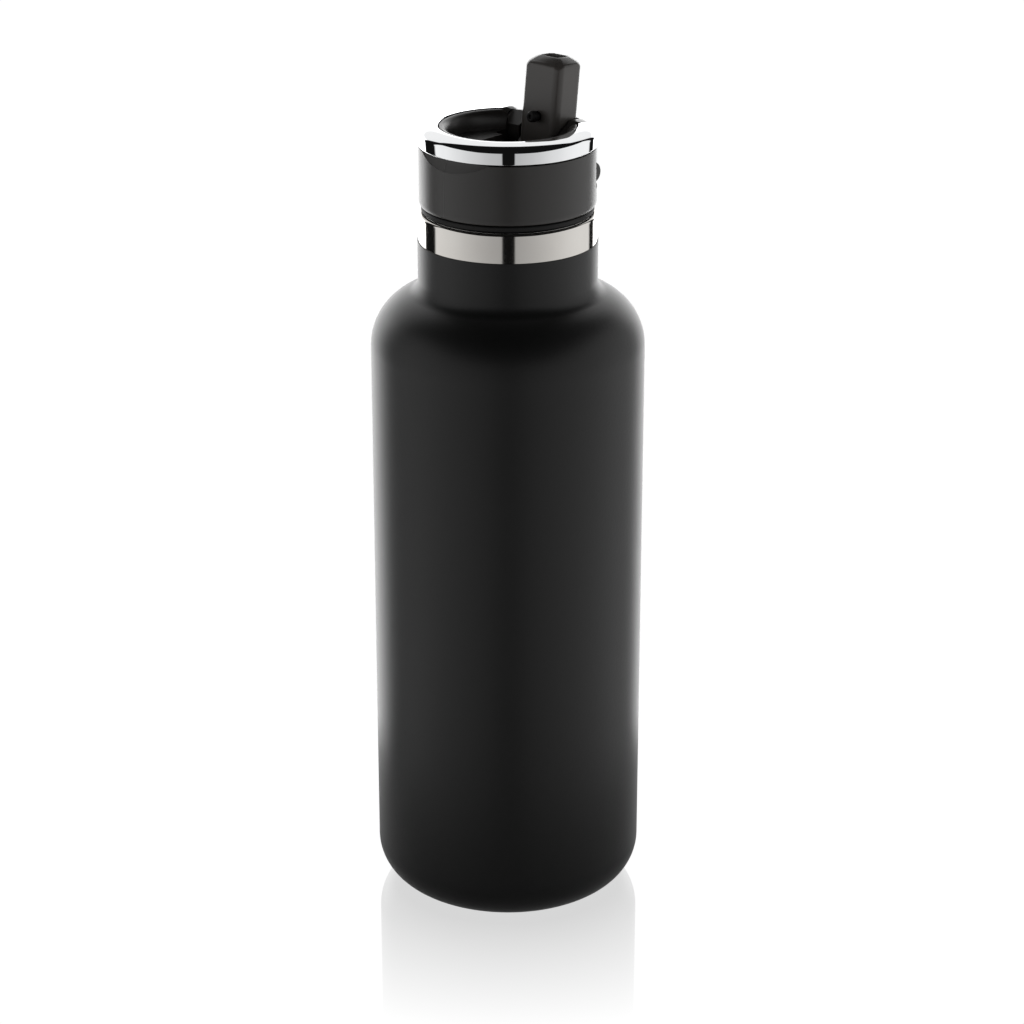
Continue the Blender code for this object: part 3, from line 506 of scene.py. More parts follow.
def black_silicone():
    """Soft black silicone with a fine matt bloom."""
    made = Finish("black_silicone")
    bloom = made.grain(0.12 * MM, detail=3)
    dust = made.grain(3 * MM, detail=3)
    colour = made.blend(dust, (0.004, 0.004, 0.004), (0.008, 0.0075, 0.0075))
    return made.surface(colour, 0.52 + 0.12 * bloom, made.raised(bloom, 0.004 * MM), Specular_IOR_Level=0.25)


silicone = black_silicone()
gasket_low, gasket_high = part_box("lid_gasket")
STOPPER_R = 19.6 * MM
gasket = turned("silicone_gasket", [
    (STOPPER_R + GAP, gasket_low.z, 0.15 * MM), (gasket_high.x, gasket_low.z, 0.45 * MM),
    (gasket_high.x, gasket_high.z, 0.45 * MM), (STOPPER_R + GAP, gasket_high.z, 0.15 * MM)], silicone)
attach(gasket, "gasket")
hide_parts("lid_gasket")


# ---------------------------------------------------------------- stopper
# The plug under the lid is moulded in black polypropylene with a coarse outside thread. Its plate is
# welded to the skirt, and has a hole for the straw's socket and a small one that lets air in.

def satin_plastic(name, dark, light, line_at, roughness):
    """Spark-eroded satin black plastic with a fine moulding line down the front."""
    made = Finish(name)
    spark = made.grain(0.16 * MM, detail=3, roughness=0.6)
    flow = made.grain(12 * MM, detail=3)
    colour = made.blend(flow, dark, light)
    line_x = abs(made.axis("X") - line_at)
    seam = (1 - made.step(line_x, 0.03 * MM, 0.11 * MM)) * made.step(0 - made.axis("Y"), 0, 1 * MM)
    normal = made.raised(spark, 0.005 * MM, made.raised(seam, 0.03 * MM))
    return made.surface(colour, roughness + 0.08 * spark + 0.05 * flow, normal, Specular_IOR_Level=0.5)


satin = satin_plastic("satin_black_plastic", (0.02, 0.0185, 0.0172), (0.0245, 0.0225, 0.021),
                      line_at=-1.3 * MM, roughness=0.31)
SKIRT_R = 23.3 * MM
SKIRT_IN_R = 21.3 * MM
SKIRT_Z = 195.5 * MM
SKIRT_TOP_Z = 211.1 * MM
DECK_R = 21 * MM
PLATE_TOP_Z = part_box("lid_stopper")[1].z
PORT_Y = 13.6 * MM
VALVE_Y = 6.2 * MM
SOCKET_NECK_R = 3.3 * MM
AIR_HOLE_R = 0.8 * MM
STOPPER_WALL = 1.6 * MM
FAR = 60 * MM


def rod(name, start, end, radius, sides=64):
    """Plain round tool between two points."""
    shape = bmesh.new()
    way = Vector(end) - Vector(start)
    turn = way.to_track_quat("Z", "Y").to_matrix().to_4x4()
    middle = (Vector(start) + Vector(end)) / 2
    bmesh.ops.create_cone(shape, cap_ends=True, segments=sides, radius1=radius, radius2=radius,
                          depth=way.length, matrix=Matrix.Translation(middle) @ turn)
    return kept(shape, name)


stopper_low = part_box("lid_stopper")[0].z
bore_r = STOPPER_R - STOPPER_WALL
stopper = turned("stopper", [
    (0, SKIRT_Z, 0), (bore_r, SKIRT_Z, 0.6 * MM), (bore_r, stopper_low, 0.3 * MM),
    (STOPPER_R, stopper_low, 0.5 * MM), (STOPPER_R, SKIRT_Z, 0), (DECK_R, SKIRT_Z, 0.2 * MM),
    (DECK_R, PLATE_TOP_Z, 0.2 * MM), (0, PLATE_TOP_Z, 0)], satin, facets=192)
worked(stopper, "UNION", thread_ridge("stopper_ridge", STOPPER_R, THREAD_Z - THREAD_PITCH / 2, True, satin))
worked(stopper, "DIFFERENCE",
       rod("straw_hole", (0, PORT_Y, LOW), (0, PORT_Y, HIGH), SOCKET_NECK_R + GAP),
       rod("air_hole", (0, VALVE_Y, LOW), (0, VALVE_Y, HIGH), AIR_HOLE_R, sides=32))
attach(stopper, "lid")
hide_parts("lid_stopper")


# ---------------------------------------------------------------- lid housing
# The skirt, the saddle under the spout and the two cheeks that hold its pins are one satin black
# moulding. A shallow scoop under the ring at the front takes the thumb that lifts the ring.

RING_Z = 211.4 * MM
RING_TOP_Z = 216.4 * MM
RING_R = 23.4 * MM
RING_IN_R = 18.2 * MM
RING_FACE_H = 2.8 * MM
REAR_Y = 12.2 * MM
REAR_HALF_W = 12.9 * MM
REAR_TOP_Z = RING_TOP_Z - 0.9 * MM
SADDLE_Y = 9.2 * MM
RECESS_Z = 200.3 * MM
HANDLE_Y = 15.1 * MM
HANDLE_Z = 203.4 * MM
HANDLE_PIN_R = 1.3 * MM
SPOUT_Y = 15.4 * MM
SPOUT_Z = 206.7 * MM
SPOUT_LEAN = math.radians(6.7)
SPOUT_W = 12.6 * MM
SPOUT_CORNER = 2.2 * MM
SPOUT_D = 9.8 * MM
BARREL_R = 4.9 * MM
SPOUT_BORE_R = 2.4 * MM
CHEEK_X = SPOUT_W / 2 + 0.6 * MM
BACK_CLEAR = 0.5 * MM
POCKET_BACK_Y = SPOUT_Y + SPOUT_D / 2 + (RING_TOP_Z - SPOUT_Z) * math.tan(SPOUT_LEAN) + BACK_CLEAR
SEAL_R = 4 * MM
SEAL_T = 1 * MM
SEAL_Z = SPOUT_Z - BARREL_R - GAP - SEAL_T
SEAL_Y = (PORT_Y + SPOUT_Y - BARREL_R * math.sin(SPOUT_LEAN)) / 2
SADDLE_T = 2.4 * MM
SADDLE_Z = SPOUT_Z - BARREL_R - 2 * GAP
SADDLE_UNDER_Z = SADDLE_Z - SADDLE_T
PAST = 1 * MM  # a tool past the face that it opens
PIN_BORE_X = 9.6 * MM  # blind ends of the bores in the cheeks
SPOUT_BORE_X = 9.4 * MM
SPOUT_PIN_R = 1.1 * MM
SKIRT_LIP_IN = 0.45 * MM
SKIRT_LIP_H = 1.6 * MM
CHEEK_SLOPE_D = 4.8 * MM
CHEEK_SLOPE_H = 2.8 * MM
NOTCH_R = 24 * MM
NOTCH_H = 3 * MM
NOTCH_STEP = 0.12 * MM
NOTCH_DEEP = 1.7 * MM


def prism(name, corners, way):
    """Tool with straight sides, from the corners of its first face and the way to its second."""
    shape = bmesh.new()
    face = shape.faces.new([shape.verts.new(corner) for corner in corners])
    far = bmesh.ops.extrude_face_region(shape, geom=[face])
    moved = [v for v in far["geom"] if isinstance(v, bmesh.types.BMVert)]
    bmesh.ops.translate(shape, verts=moved, vec=way)
    bmesh.ops.recalc_face_normals(shape, faces=shape.faces)
    return kept(shape, name)


def lofted(name, loops, finish=None):
    """Solid skinned over closed loops of points, with a face on each end."""
    shape = bmesh.new()
    rows = [[shape.verts.new(point) for point in loop] for loop in loops]
    for near, far in zip(rows, rows[1:]):
        for k in range(len(near)):
            shape.faces.new((near[k - 1], near[k], far[k], far[k - 1]))
    shape.faces.new(rows[0])
    shape.faces.new(reversed(rows[-1]))
    bmesh.ops.recalc_face_normals(shape, faces=shape.faces)
    return kept(shape, name, finish)


def box_tool(name, low, high):
    """Box between two corners."""
    corners = [(low[0], low[1]), (high[0], low[1]), (high[0], high[1]), (low[0], high[1])]
    return prism(name, [(x, y, low[2]) for x, y in corners], (0, 0, high[2] - low[2]))


def well(name, half_w, front_y, back_y, corner, low_z, high_z):
    """Upright prism whose plan is a rectangle with rounded corners."""
    plan = softened([(-half_w, front_y, corner), (half_w, front_y, corner), (half_w, back_y, corner),
                     (-half_w, back_y, corner)])
    return prism(name, [(x, y, low_z) for x, y in plan], (0, 0, high_z - low_z))


def domed(inner_r, outer_r, top_z, steps=14):
    """Section of the ring's rounded top, from its upright face over to the inner edge."""
    turns = (math.pi / 2 * i / steps for i in range(steps + 1))
    low = RING_Z + RING_FACE_H
    return [(inner_r + (outer_r - inner_r) * math.cos(t), low + (top_z - low) * math.sin(t), 0)
            for t in turns]


def thumb_scoop():
    """Tool for the scoop: a round lower edge with a small step, deepening up to the ring."""
    reach = math.asin(math.sqrt(NOTCH_R ** 2 - (NOTCH_R - NOTCH_H - 0.5 * MM) ** 2) / SKIRT_R)
    past_r = SKIRT_R + PAST
    past_z = SKIRT_TOP_Z + PAST
    loops = []
    for i in range(49):
        turn = reach * (i / 24 - 1)
        x = SKIRT_R * math.sin(turn)
        low_z = SKIRT_TOP_Z - NOTCH_H + NOTCH_R - math.sqrt(NOTCH_R ** 2 - x ** 2)
        column = [(past_r, low_z)]
        for k in range(7):
            z = low_z + (past_z - low_z) * k / 6
            depth = NOTCH_STEP + (NOTCH_DEEP - NOTCH_STEP) * max(0, z - low_z) / NOTCH_H
            column.append((SKIRT_R - min(depth, NOTCH_DEEP), z))
        column.append((past_r, past_z))
        loops.append([(r * math.sin(turn), -r * math.cos(turn), z) for r, z in column])
    return lofted("thumb_scoop", loops)


skirt_lip = [(SKIRT_R - SKIRT_LIP_IN * (1 - math.sin(t)), SKIRT_Z + SKIRT_LIP_H * (1 - math.cos(t)), 0)
             for t in (math.pi / 2 * i / 10 for i in range(11))]
housing = turned("housing", [
    (SKIRT_IN_R, SKIRT_Z, 0.2 * MM)] + skirt_lip + [(SKIRT_R, SKIRT_TOP_Z, 0.15 * MM),
    (SKIRT_IN_R, SKIRT_TOP_Z, 0)], satin)
worked(housing, "DIFFERENCE",
       box_tool("recess_left", (-FAR, REAR_Y, RECESS_Z), (-REAR_HALF_W, FAR, HIGH)),
       box_tool("recess_right", (REAR_HALF_W, REAR_Y, RECESS_Z), (FAR, FAR, HIGH)))
rear = turned("rear_block", [(0, SADDLE_UNDER_Z, 0), (SKIRT_R, SADDLE_UNDER_Z, 0)]
              + domed(RING_IN_R, SKIRT_R, REAR_TOP_Z) + [(0, REAR_TOP_Z, 0)], satin)
worked(rear, "INTERSECT", box_tool("rear_limits", (-REAR_HALF_W, SADDLE_Y, LOW), (REAR_HALF_W, FAR, HIGH)))
worked(rear, "DIFFERENCE", box_tool("above_saddle", (-FAR, -FAR, SADDLE_Z), (FAR, REAR_Y, HIGH)))
slope_z = REAR_TOP_Z - CHEEK_SLOPE_H
slope_y = REAR_Y + CHEEK_SLOPE_D
before_y = REAR_Y - PAST
cheek_slope = [(REAR_Y, slope_z), (slope_y, REAR_TOP_Z), (slope_y, HIGH), (before_y, HIGH),
               (before_y, slope_z)]
worked(rear, "DIFFERENCE", prism("cheek_slope", [(-FAR, y, z) for y, z in cheek_slope], (2 * FAR, 0, 0)))
worked(housing, "UNION", rear)
pin_bore_r = HANDLE_PIN_R + GAP
spout_pin_bore_r = SPOUT_PIN_R + GAP
worked(housing, "DIFFERENCE",
       well("spout_pocket", CHEEK_X, 0, POCKET_BACK_Y, SPOUT_CORNER, SADDLE_Z, HIGH),
       rod("seal_seat", (0, SEAL_Y, SEAL_Z - GAP), (0, SEAL_Y, SADDLE_Z + PAST), SEAL_R + GAP),
       rod("port", (0, PORT_Y, SADDLE_UNDER_Z - PAST), (0, PORT_Y, SEAL_Z), SPOUT_BORE_R),
       rod("bore_left", (-PIN_BORE_X, HANDLE_Y, HANDLE_Z), (-FAR, HANDLE_Y, HANDLE_Z), pin_bore_r),
       rod("bore_right", (PIN_BORE_X, HANDLE_Y, HANDLE_Z), (FAR, HANDLE_Y, HANDLE_Z), pin_bore_r),
       rod("spout_bores", (-SPOUT_BORE_X, SPOUT_Y, SPOUT_Z), (SPOUT_BORE_X, SPOUT_Y, SPOUT_Z),
           spout_pin_bore_r),
       thumb_scoop())
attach(housing, "lid")
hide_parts("lid_housing")


# ---------------------------------------------------------------- deck
# The bowl inside the ring is a separate glossy black moulding, pressed into the skirt. Its floor has
# a sunk slot for the folded spout, wider at the back where the spout's barrel turns.

def gloss_plastic():
    """Glossy black plastic with fine dust."""
    made = Finish("gloss_black_plastic")
    cloud = made.grain(9 * MM, detail=2)
    dust = made.grain(0.3 * MM, detail=4)
    colour = made.blend(dust, (0.019, 0.0168, 0.0152), (0.024, 0.0212, 0.0194))
    return made.surface(colour, 0.32 + 0.06 * dust + 0.03 * cloud, made.raised(dust, 0.001 * MM))


gloss = gloss_plastic()
BOWL_RIM_Z = 216.2 * MM
BOWL_R = RING_IN_R - GAP
BOWL_DEPTH = 4.8 * MM
BOWL_FLOOR_Z = BOWL_RIM_Z - BOWL_DEPTH
BOWL_LIP_W = 0.4 * MM
BOWL_SIDE_W = 2.3 * MM
FLANGE_UNDER_Z = SKIRT_TOP_Z - 1.8 * MM
SLOT_CLEAR = 0.9 * MM
SLOT_HALF_W = SPOUT_W / 2 + SLOT_CLEAR
SLOT_FRONT_Y = -11.2 * MM
SLOT_WALL = 1.2 * MM
SLOT_FLOOR_Z = PLATE_TOP_Z + GAP + SLOT_WALL
SLOT_CORNER = 2 * MM
SHELL_CORNER = 2.5 * MM
POCKET_HALF_W = 10.5 * MM
POCKET_Y = 6 * MM
VALVE_R = 1 * MM
VALVE_WALL = 0.9 * MM
dish_r = BOWL_R - BOWL_LIP_W
dish = [(dish_r - BOWL_SIDE_W * math.sin(t), BOWL_RIM_Z - BOWL_DEPTH * (1 - math.cos(t)), 0)
        for t in (math.pi / 2 * i / 14 for i in range(15))]
deck = turned("bowl_deck", [
    (0, FLANGE_UNDER_Z, 0), (DECK_R, FLANGE_UNDER_Z, 0.2 * MM), (DECK_R, SKIRT_TOP_Z, 0.2 * MM),
    (BOWL_R, SKIRT_TOP_Z, 0.1 * MM), (BOWL_R, BOWL_RIM_Z, 0.2 * MM)] + dish + [(0, BOWL_FLOOR_Z, 0)], gloss)
shell_top = FLANGE_UNDER_Z + 0.5 * MM
worked(deck, "UNION",
       well("slot_shell", SLOT_HALF_W + SLOT_WALL, SLOT_FRONT_Y - SLOT_WALL, REAR_Y, SHELL_CORNER,
            SLOT_FLOOR_Z - SLOT_WALL, shell_top),
       well("pocket_shell", POCKET_HALF_W + SLOT_WALL, POCKET_Y - SLOT_WALL, REAR_Y + 3 * MM, SHELL_CORNER,
            SLOT_FLOOR_Z - SLOT_WALL, shell_top))
worked(deck, "DIFFERENCE",
       well("slot", SLOT_HALF_W, SLOT_FRONT_Y, FAR, SLOT_CORNER, SLOT_FLOOR_Z, HIGH),
       well("pocket", POCKET_HALF_W, POCKET_Y, FAR, SLOT_CORNER, SLOT_FLOOR_Z, HIGH),
       box_tool("cheek_room", (-FAR, REAR_Y - GAP, LOW), (FAR, FAR, HIGH)),
       box_tool("saddle_room", (-FAR, SADDLE_Y - GAP, LOW), (FAR, FAR, SADDLE_Z + GAP)),
       rod("valve_hole", (0, VALVE_Y, LOW), (0, VALVE_Y, SLOT_FLOOR_Z + PAST),
           VALVE_R + VALVE_WALL + GAP))
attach(deck, "lid")
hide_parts("lid_deck")


# ---------------------------------------------------------------- seals
# Two soft rings: one in the slot's floor that the vent plug closes, and one under the spout's barrel
# that keeps the drink in when the spout is folded. Both are pressed into their seats.

valve_low = SLOT_FLOOR_Z - SLOT_WALL
vent_ring = turned("vent_ring", [
    (VALVE_R, valve_low, 0), (VALVE_R + VALVE_WALL, valve_low, 0),
    (VALVE_R + VALVE_WALL, SLOT_FLOOR_Z, 0.1 * MM),
    (VALVE_R + 0.3 * MM, SLOT_FLOOR_Z, 0.1 * MM), (VALVE_R, SLOT_FLOOR_Z - 0.3 * MM, 0)], silicone, facets=96)
stood(vent_ring, (0, VALVE_Y, 0))
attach(vent_ring, "lid")
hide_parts("vent_valve")

seal_in_r = SPOUT_BORE_R + 0.6 * MM
face_seal = turned("barrel_seal", [
    (seal_in_r, 0, 0.1 * MM), (SEAL_R, 0, 0.1 * MM), (SEAL_R, SEAL_T, 0.35 * MM),
    (seal_in_r, SEAL_T, 0.35 * MM)], silicone, facets=96)
stood(face_seal, (0, SEAL_Y, SEAL_Z))
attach(face_seal, "lid")
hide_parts("spout_seal")


# ---------------------------------------------------------------- carry ring
# The ring is moulded in plastic and plated with bright chrome. Behind the bowl it is cut away for the
# cheeks, and an ear on each end reaches down beside a cheek to the pin that it swings on.

def chrome_plate():
    """Bright chrome over moulded plastic: a mirror with the faintest waviness and a few smears."""
    made = Finish("chrome_plate")
    wave = made.grain(7 * MM, detail=1)
    smear = made.grain(3 * MM, detail=4, stretch=(1, 1, 0.4))
    colour = made.blend(smear, (0.83, 0.84, 0.85), (0.9, 0.905, 0.91))
    return made.surface(colour, 0.015 + 0.03 * smear, made.raised(wave, 0.004 * MM), Metallic=1.0)


chrome = chrome_plate()
EAR_X = REAR_HALF_W + GAP
EAR_T = 2.4 * MM
EAR_HALF_W = 2.6 * MM


def cut_ring(name, corners, opening_x, facets, finish):
    """Ring turned from its section and ended, behind, on two flat faces square to X."""
    section = softened(corners)
    loops = []
    for k in range(facets + 1):
        loop = []
        for r, z in section:
            half_gap = math.asin(opening_x / r)
            turn = half_gap + (2 * math.pi - 2 * half_gap) * k / facets
            loop.append((-r * math.sin(turn), r * math.cos(turn), z))
        loops.append(loop)
    return lofted(name, loops, finish)


def ear(name, low_x, high_x):
    """Flat lug with a round lower end on the handle's pivot."""
    top_z = RING_Z + RING_FACE_H
    front_y = HANDLE_Y - EAR_HALF_W
    back_y = HANDLE_Y + EAR_HALF_W
    low_z = HANDLE_Z - EAR_HALF_W
    nearly_half = EAR_HALF_W * 0.999
    side = softened([(back_y, top_z, 0), (front_y, top_z, 0), (front_y, low_z, nearly_half),
                     (back_y, low_z, nearly_half)])
    return prism(name, [(low_x, y, z) for y, z in side], (high_x - low_x, 0, 0))


ring = cut_ring("carry_ring", [(RING_IN_R, RING_Z, 0.3 * MM), (RING_R, RING_Z, 0.3 * MM)]
                + domed(RING_IN_R + 0.2 * MM, RING_R, RING_TOP_Z, steps=20)
                + [(RING_IN_R, RING_TOP_Z - 0.2 * MM, 0)], EAR_X, 320, chrome)
worked(ring, "UNION", ear("ear_left", -EAR_X - EAR_T, -EAR_X), ear("ear_right", EAR_X, EAR_X + EAR_T))
worked(ring, "DIFFERENCE",
       rod("ear_bores", (-FAR, HANDLE_Y, HANDLE_Z), (FAR, HANDLE_Y, HANDLE_Z), pin_bore_r))
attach(ring, "handle")
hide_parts("handle_ring")


# ---------------------------------------------------------------- ring pins
# Each ear turns on a black pin with a low round head. The pin is pushed through the ear into a blind
# bore in the cheek, and its head covers the bore in the ear.

PIN_LEN = 6 * MM
PIN_HEAD_R = 2.8 * MM

for side, label in ((-1, "left"), (1, "right")):
    pin_low, pin_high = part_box("handle_pin_" + label)
    head_x = EAR_X + EAR_T + GAP
    head_h = max(abs(pin_low.x), abs(pin_high.x)) - head_x
    pin = turned("ring_pin_" + label, [
        (0, -PIN_LEN, 0), (HANDLE_PIN_R, -PIN_LEN, 0.2 * MM), (HANDLE_PIN_R, 0, 0),
        (PIN_HEAD_R, 0, 0.1 * MM), (PIN_HEAD_R, head_h, 0.6 * MM), (0, head_h, 0)], satin, facets=96)
    stood(pin, (side * head_x, HANDLE_Y, HANDLE_Z), (side, 0, 0))
    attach(pin, "lid")
    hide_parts("handle_pin_" + label)


# ---------------------------------------------------------------- spout
# The spout is a rounded rectangular tube on a round barrel, moulded in one piece. Its mouth is
# domed both ways round an oval opening. It leans back a little when it is up.

SPOUT_TOP = 25.6 * MM
CROWN_SIDE = 1.9 * MM  # fall of the mouth from its middle to a side face
CROWN_FRONT = 2.1 * MM  # fall to the front face
CROWN_BACK = 1 * MM  # fall to the back face
SPOUT_EDGE = 0.7 * MM
MOUTH_X = 3.6 * MM
MOUTH_Y = 2.6 * MM
MOUTH_TURN = 0.8  # share of the way to the hole where the face starts to turn in
MOUTH_DIP = 0.35 * MM
MOUTH_STEP = 0.5 * MM
MOUTH_DEEP = 5 * MM
BORE_TOP = 21 * MM
PIN_GRIP_X = 4.6 * MM  # blind ends of the pin holes in the barrel
PLUG_R = 1.1 * MM
PLUG_ROOT = 1.2 * MM
PLUG_LEN = 2.9 * MM
PLUG_NECK = 0.6 * MM
PLUG_FLARE = 0.5 * MM
PLUG_DIMPLE = 0.5 * MM


def on_spout(obj):
    """The object moved from the spout's own upright place to its lean on the pivot."""
    obj.data.transform(Matrix.Translation((0, SPOUT_Y, SPOUT_Z)) @ Matrix.Rotation(-SPOUT_LEAN, 4, "X"))
    return obj


def crown_z(x, y):
    """Height of the domed mouth above the pivot."""
    fall = CROWN_FRONT if y < 0 else CROWN_BACK
    return SPOUT_TOP - CROWN_SIDE * (x / (SPOUT_W / 2)) ** 2 - fall * (y / (SPOUT_D / 2)) ** 2


def spout_tube(finish):
    """Tube with soft corners, a rolled edge and a domed mouth that falls into the bore."""
    sides = 96

    def plan(inset):
        corner = max(SPOUT_CORNER - inset, 0.3 * MM)
        half_x = SPOUT_W / 2 - inset
        half_y = SPOUT_D / 2 - inset
        points = []
        for k in range(sides):
            turn = 2 * math.pi * (k + 0.5) / sides
            quarter = int(turn // (math.pi / 2))
            within = turn - quarter * math.pi / 2
            cx = (half_x - corner) * (1 if quarter in (0, 3) else -1)
            cy = (half_y - corner) * (1 if quarter in (0, 1) else -1)
            step = within / (math.pi / 2)
            spread = (3 * step ** 2 - 2 * step ** 3) * math.pi / 2 + quarter * math.pi / 2
            points.append((cx + corner * math.cos(spread), cy + corner * math.sin(spread)))
        return points

    loops = []
    outer = plan(0)
    edge_low = [crown_z(x, y) - SPOUT_EDGE for x, y in outer]
    for k in range(12):
        loops.append([(x, y, z * k / 11) for (x, y), z in zip(outer, edge_low)])
    for k in range(1, 8):
        turn = math.pi / 2 * k / 7
        inset = SPOUT_EDGE * (1 - math.cos(turn))
        ring_points = plan(inset)
        fall = SPOUT_EDGE * (1 - math.sin(turn))
        loops.append([(x, y, crown_z(x, y) - fall) for x, y in ring_points])
    start = plan(SPOUT_EDGE)
    mouth = []
    for k in range(sides):
        x, y = start[k]
        turn = math.atan2(y / MOUTH_Y, x / MOUTH_X)
        mouth.append((MOUTH_X * math.cos(turn), MOUTH_Y * math.sin(turn)))
    for k in range(1, 11):
        share = k / 10
        points = [(a + (c - a) * share, b + (d - b) * share) for (a, b), (c, d) in zip(start, mouth)]
        dip = MOUTH_DIP * (max(0, share - MOUTH_TURN) / (1 - MOUTH_TURN)) ** 2
        loops.append([(x, y, crown_z(x, y) - dip) for x, y in points])
    for k in range(1, 9):
        share = k / 8
        drop = MOUTH_STEP + MOUTH_DEEP * share
        points = []
        for x, y in mouth:
            length = math.hypot(x, y)
            scale = (length + (SPOUT_BORE_R - length) * share) / length
            points.append((x * scale, y * scale, crown_z(x, y) - drop))
        loops.append(points)
    return settled(lofted("drinking_spout", loops, finish))


PLUG_UP = 9.2 * MM
spout_black = satin_plastic("spout_black_plastic", (0.058, 0.0525, 0.0485), (0.068, 0.0615, 0.057),
                            line_at=-0.8 * MM, roughness=0.23)
spout = spout_tube(spout_black)
barrel = turned("barrel", [(0, -SPOUT_W / 2, 0), (BARREL_R, -SPOUT_W / 2, 0.3 * MM),
                           (BARREL_R, SPOUT_W / 2, 0.3 * MM), (0, SPOUT_W / 2, 0)], spout_black, facets=128)
stood(barrel, (0, 0, 0), (1, 0, 0))
worked(spout, "UNION", barrel)
worked(spout, "DIFFERENCE",
       rod("spout_bore", (0, 0, -FAR), (0, 0, BORE_TOP), SPOUT_BORE_R, sides=96),
       rod("pin_hole_left", (-PIN_GRIP_X, 0, 0), (-FAR, 0, 0), spout_pin_bore_r),
       rod("pin_hole_right", (PIN_GRIP_X, 0, 0), (FAR, 0, 0), spout_pin_bore_r),
       rod("plug_hole", (0, -SPOUT_D, PLUG_UP), (0, PLUG_ROOT + GAP - SPOUT_D / 2, PLUG_UP), PLUG_R + GAP))
on_spout(spout)
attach(spout, "spout")
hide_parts("spout")


# ---------------------------------------------------------------- spout pins
# Two short steel pins, pressed through the cheeks from the pocket side, carry the spout's barrel.
# They are ground rod with their ends broken.

for side, label in ((-1, "left"), (1, "right")):
    low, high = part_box("spout_pin_" + label)
    axle = turned("axle_" + label, [
        (0, 0, 0), (SPOUT_PIN_R, 0, 0.2 * MM), (SPOUT_PIN_R, high.x - low.x, 0.2 * MM),
        (0, high.x - low.x, 0)], steel_dull, facets=64)
    stood(axle, (low.x, SPOUT_Y, SPOUT_Z), (1, 0, 0))
    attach(axle, "lid")
    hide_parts("spout_pin_" + label)


# ---------------------------------------------------------------- vent plug
# A soft mushroom plug is pushed into the front of the spout. When the spout is folded its head
# closes the vent in the slot's floor. A small dimple in its tip is left by the moulding.

HEAD_R = 1.5 * MM
plug_neck = PLUG_ROOT + PLUG_NECK
plug_full = PLUG_ROOT + PLUG_LEN
plug_in = plug_full - PLUG_DIMPLE
plug = turned("vent_mushroom", [
    (0, 0, 0), (PLUG_R, 0, 0.15 * MM), (PLUG_R, plug_neck, 0.15 * MM),
    (HEAD_R, plug_neck + PLUG_FLARE, 0.2 * MM),
    (HEAD_R, plug_full, 0.6 * MM), (0.6 * MM, plug_full, 0.2 * MM), (0.35 * MM, plug_in, 0.1 * MM),
    (0, plug_in, 0)], silicone, facets=96)
stood(plug, (0, PLUG_ROOT - SPOUT_D / 2, PLUG_UP), (0, -1, 0))
on_spout(plug)
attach(plug, "spout")
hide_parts("vent_plug")


# ---------------------------------------------------------------- straw and its socket
# A silicone sleeve hangs in the stopper's plate and grips the top of the straw. The straw is milky
# extruded polypropylene, cut square, and stops short of the liner's floor.

def milky_plastic():
    """Milky extruded plastic with faint draw lines along the tube."""
    made = Finish("milky_plastic")
    draw = made.grain(0.25 * MM, stretch=(1, 1, 0.01))
    cloud = made.grain(6 * MM, detail=3)
    colour = made.blend(cloud, (0.7, 0.72, 0.72), (0.82, 0.84, 0.84))
    return made.surface(colour, 0.3 + 0.1 * draw, made.raised(draw, 0.004 * MM), Subsurface_Weight=0.3,
                        Subsurface_Scale=0.002)


socket_low, socket_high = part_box("straw_socket")
SOCKET_R = 4 * MM
SLEEVE_R = SOCKET_R - 0.7 * MM
STRAW_WALL = 0.8 * MM
flange_z = PLATE_TOP_Z + GAP
body_z = SKIRT_Z - GAP
sleeve_z = socket_low.z + 8.5 * MM
socket = turned("straw_sleeve", [
    (SPOUT_BORE_R, socket_high.z, 0.1 * MM), (SPOUT_BORE_R, sleeve_z, 0),
    (SLEEVE_R, sleeve_z, 0), (SLEEVE_R, socket_low.z, 0.15 * MM),
    (SOCKET_R, socket_low.z, 0.2 * MM), (SOCKET_R, body_z, 0.2 * MM), (SOCKET_NECK_R, body_z, 0),
    (SOCKET_NECK_R, flange_z, 0), (SOCKET_R, flange_z, 0.15 * MM), (SOCKET_R, socket_high.z, 0.15 * MM)],
    silicone, facets=96)
stood(socket, (0, PORT_Y, 0))
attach(socket, "lid")
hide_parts("straw_socket")

straw_low, straw_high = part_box("straw")
straw_r = straw_high.x
straw_in_r = straw_r - STRAW_WALL
straw = turned("drinking_straw", [
    (straw_in_r, straw_low.z, 0.2 * MM), (straw_r, straw_low.z, 0.2 * MM),
    (straw_r, straw_high.z, 0.2 * MM), (straw_in_r, straw_high.z, 0.2 * MM)], milky_plastic(), facets=96)
stood(straw, (0, PORT_Y, 0))
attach(straw, "lid")
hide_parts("straw")


# ---------------------------------------------------------------- studio
# A pale table that mirrors the foot faintly, a white room behind, and two tall soft panels in front
# with a narrow gap between them. The camera looks down a little from the lid's front right.

CAMERA_TURN = math.radians(41.5)
TABLE_R = 0.16
SHINE_START = 0.034  # from the middle of the table to where its reflection starts to fade
SHINE_END = 0.092
WHITE = 1.02  # light of the table and of the room as the camera sees them
SHADE_DROP = 0.5 * MM
SHADE_SHARE = 0.68  # radius of the shade over the table's

camera_data = bpy.data.cameras.new("camera")
camera_data.lens = 104.7
camera_data.sensor_width = 36
camera_data.clip_start = 0.01
camera = bpy.data.objects.new("camera", camera_data)
camera.location = (0.50157, -0.56527, 0.4049)
camera.rotation_euler = (math.radians(68.576), 0, CAMERA_TURN)
bpy.context.scene.collection.objects.link(camera)
bpy.context.scene.camera = camera
bpy.context.scene.view_settings.view_transform = "Standard"

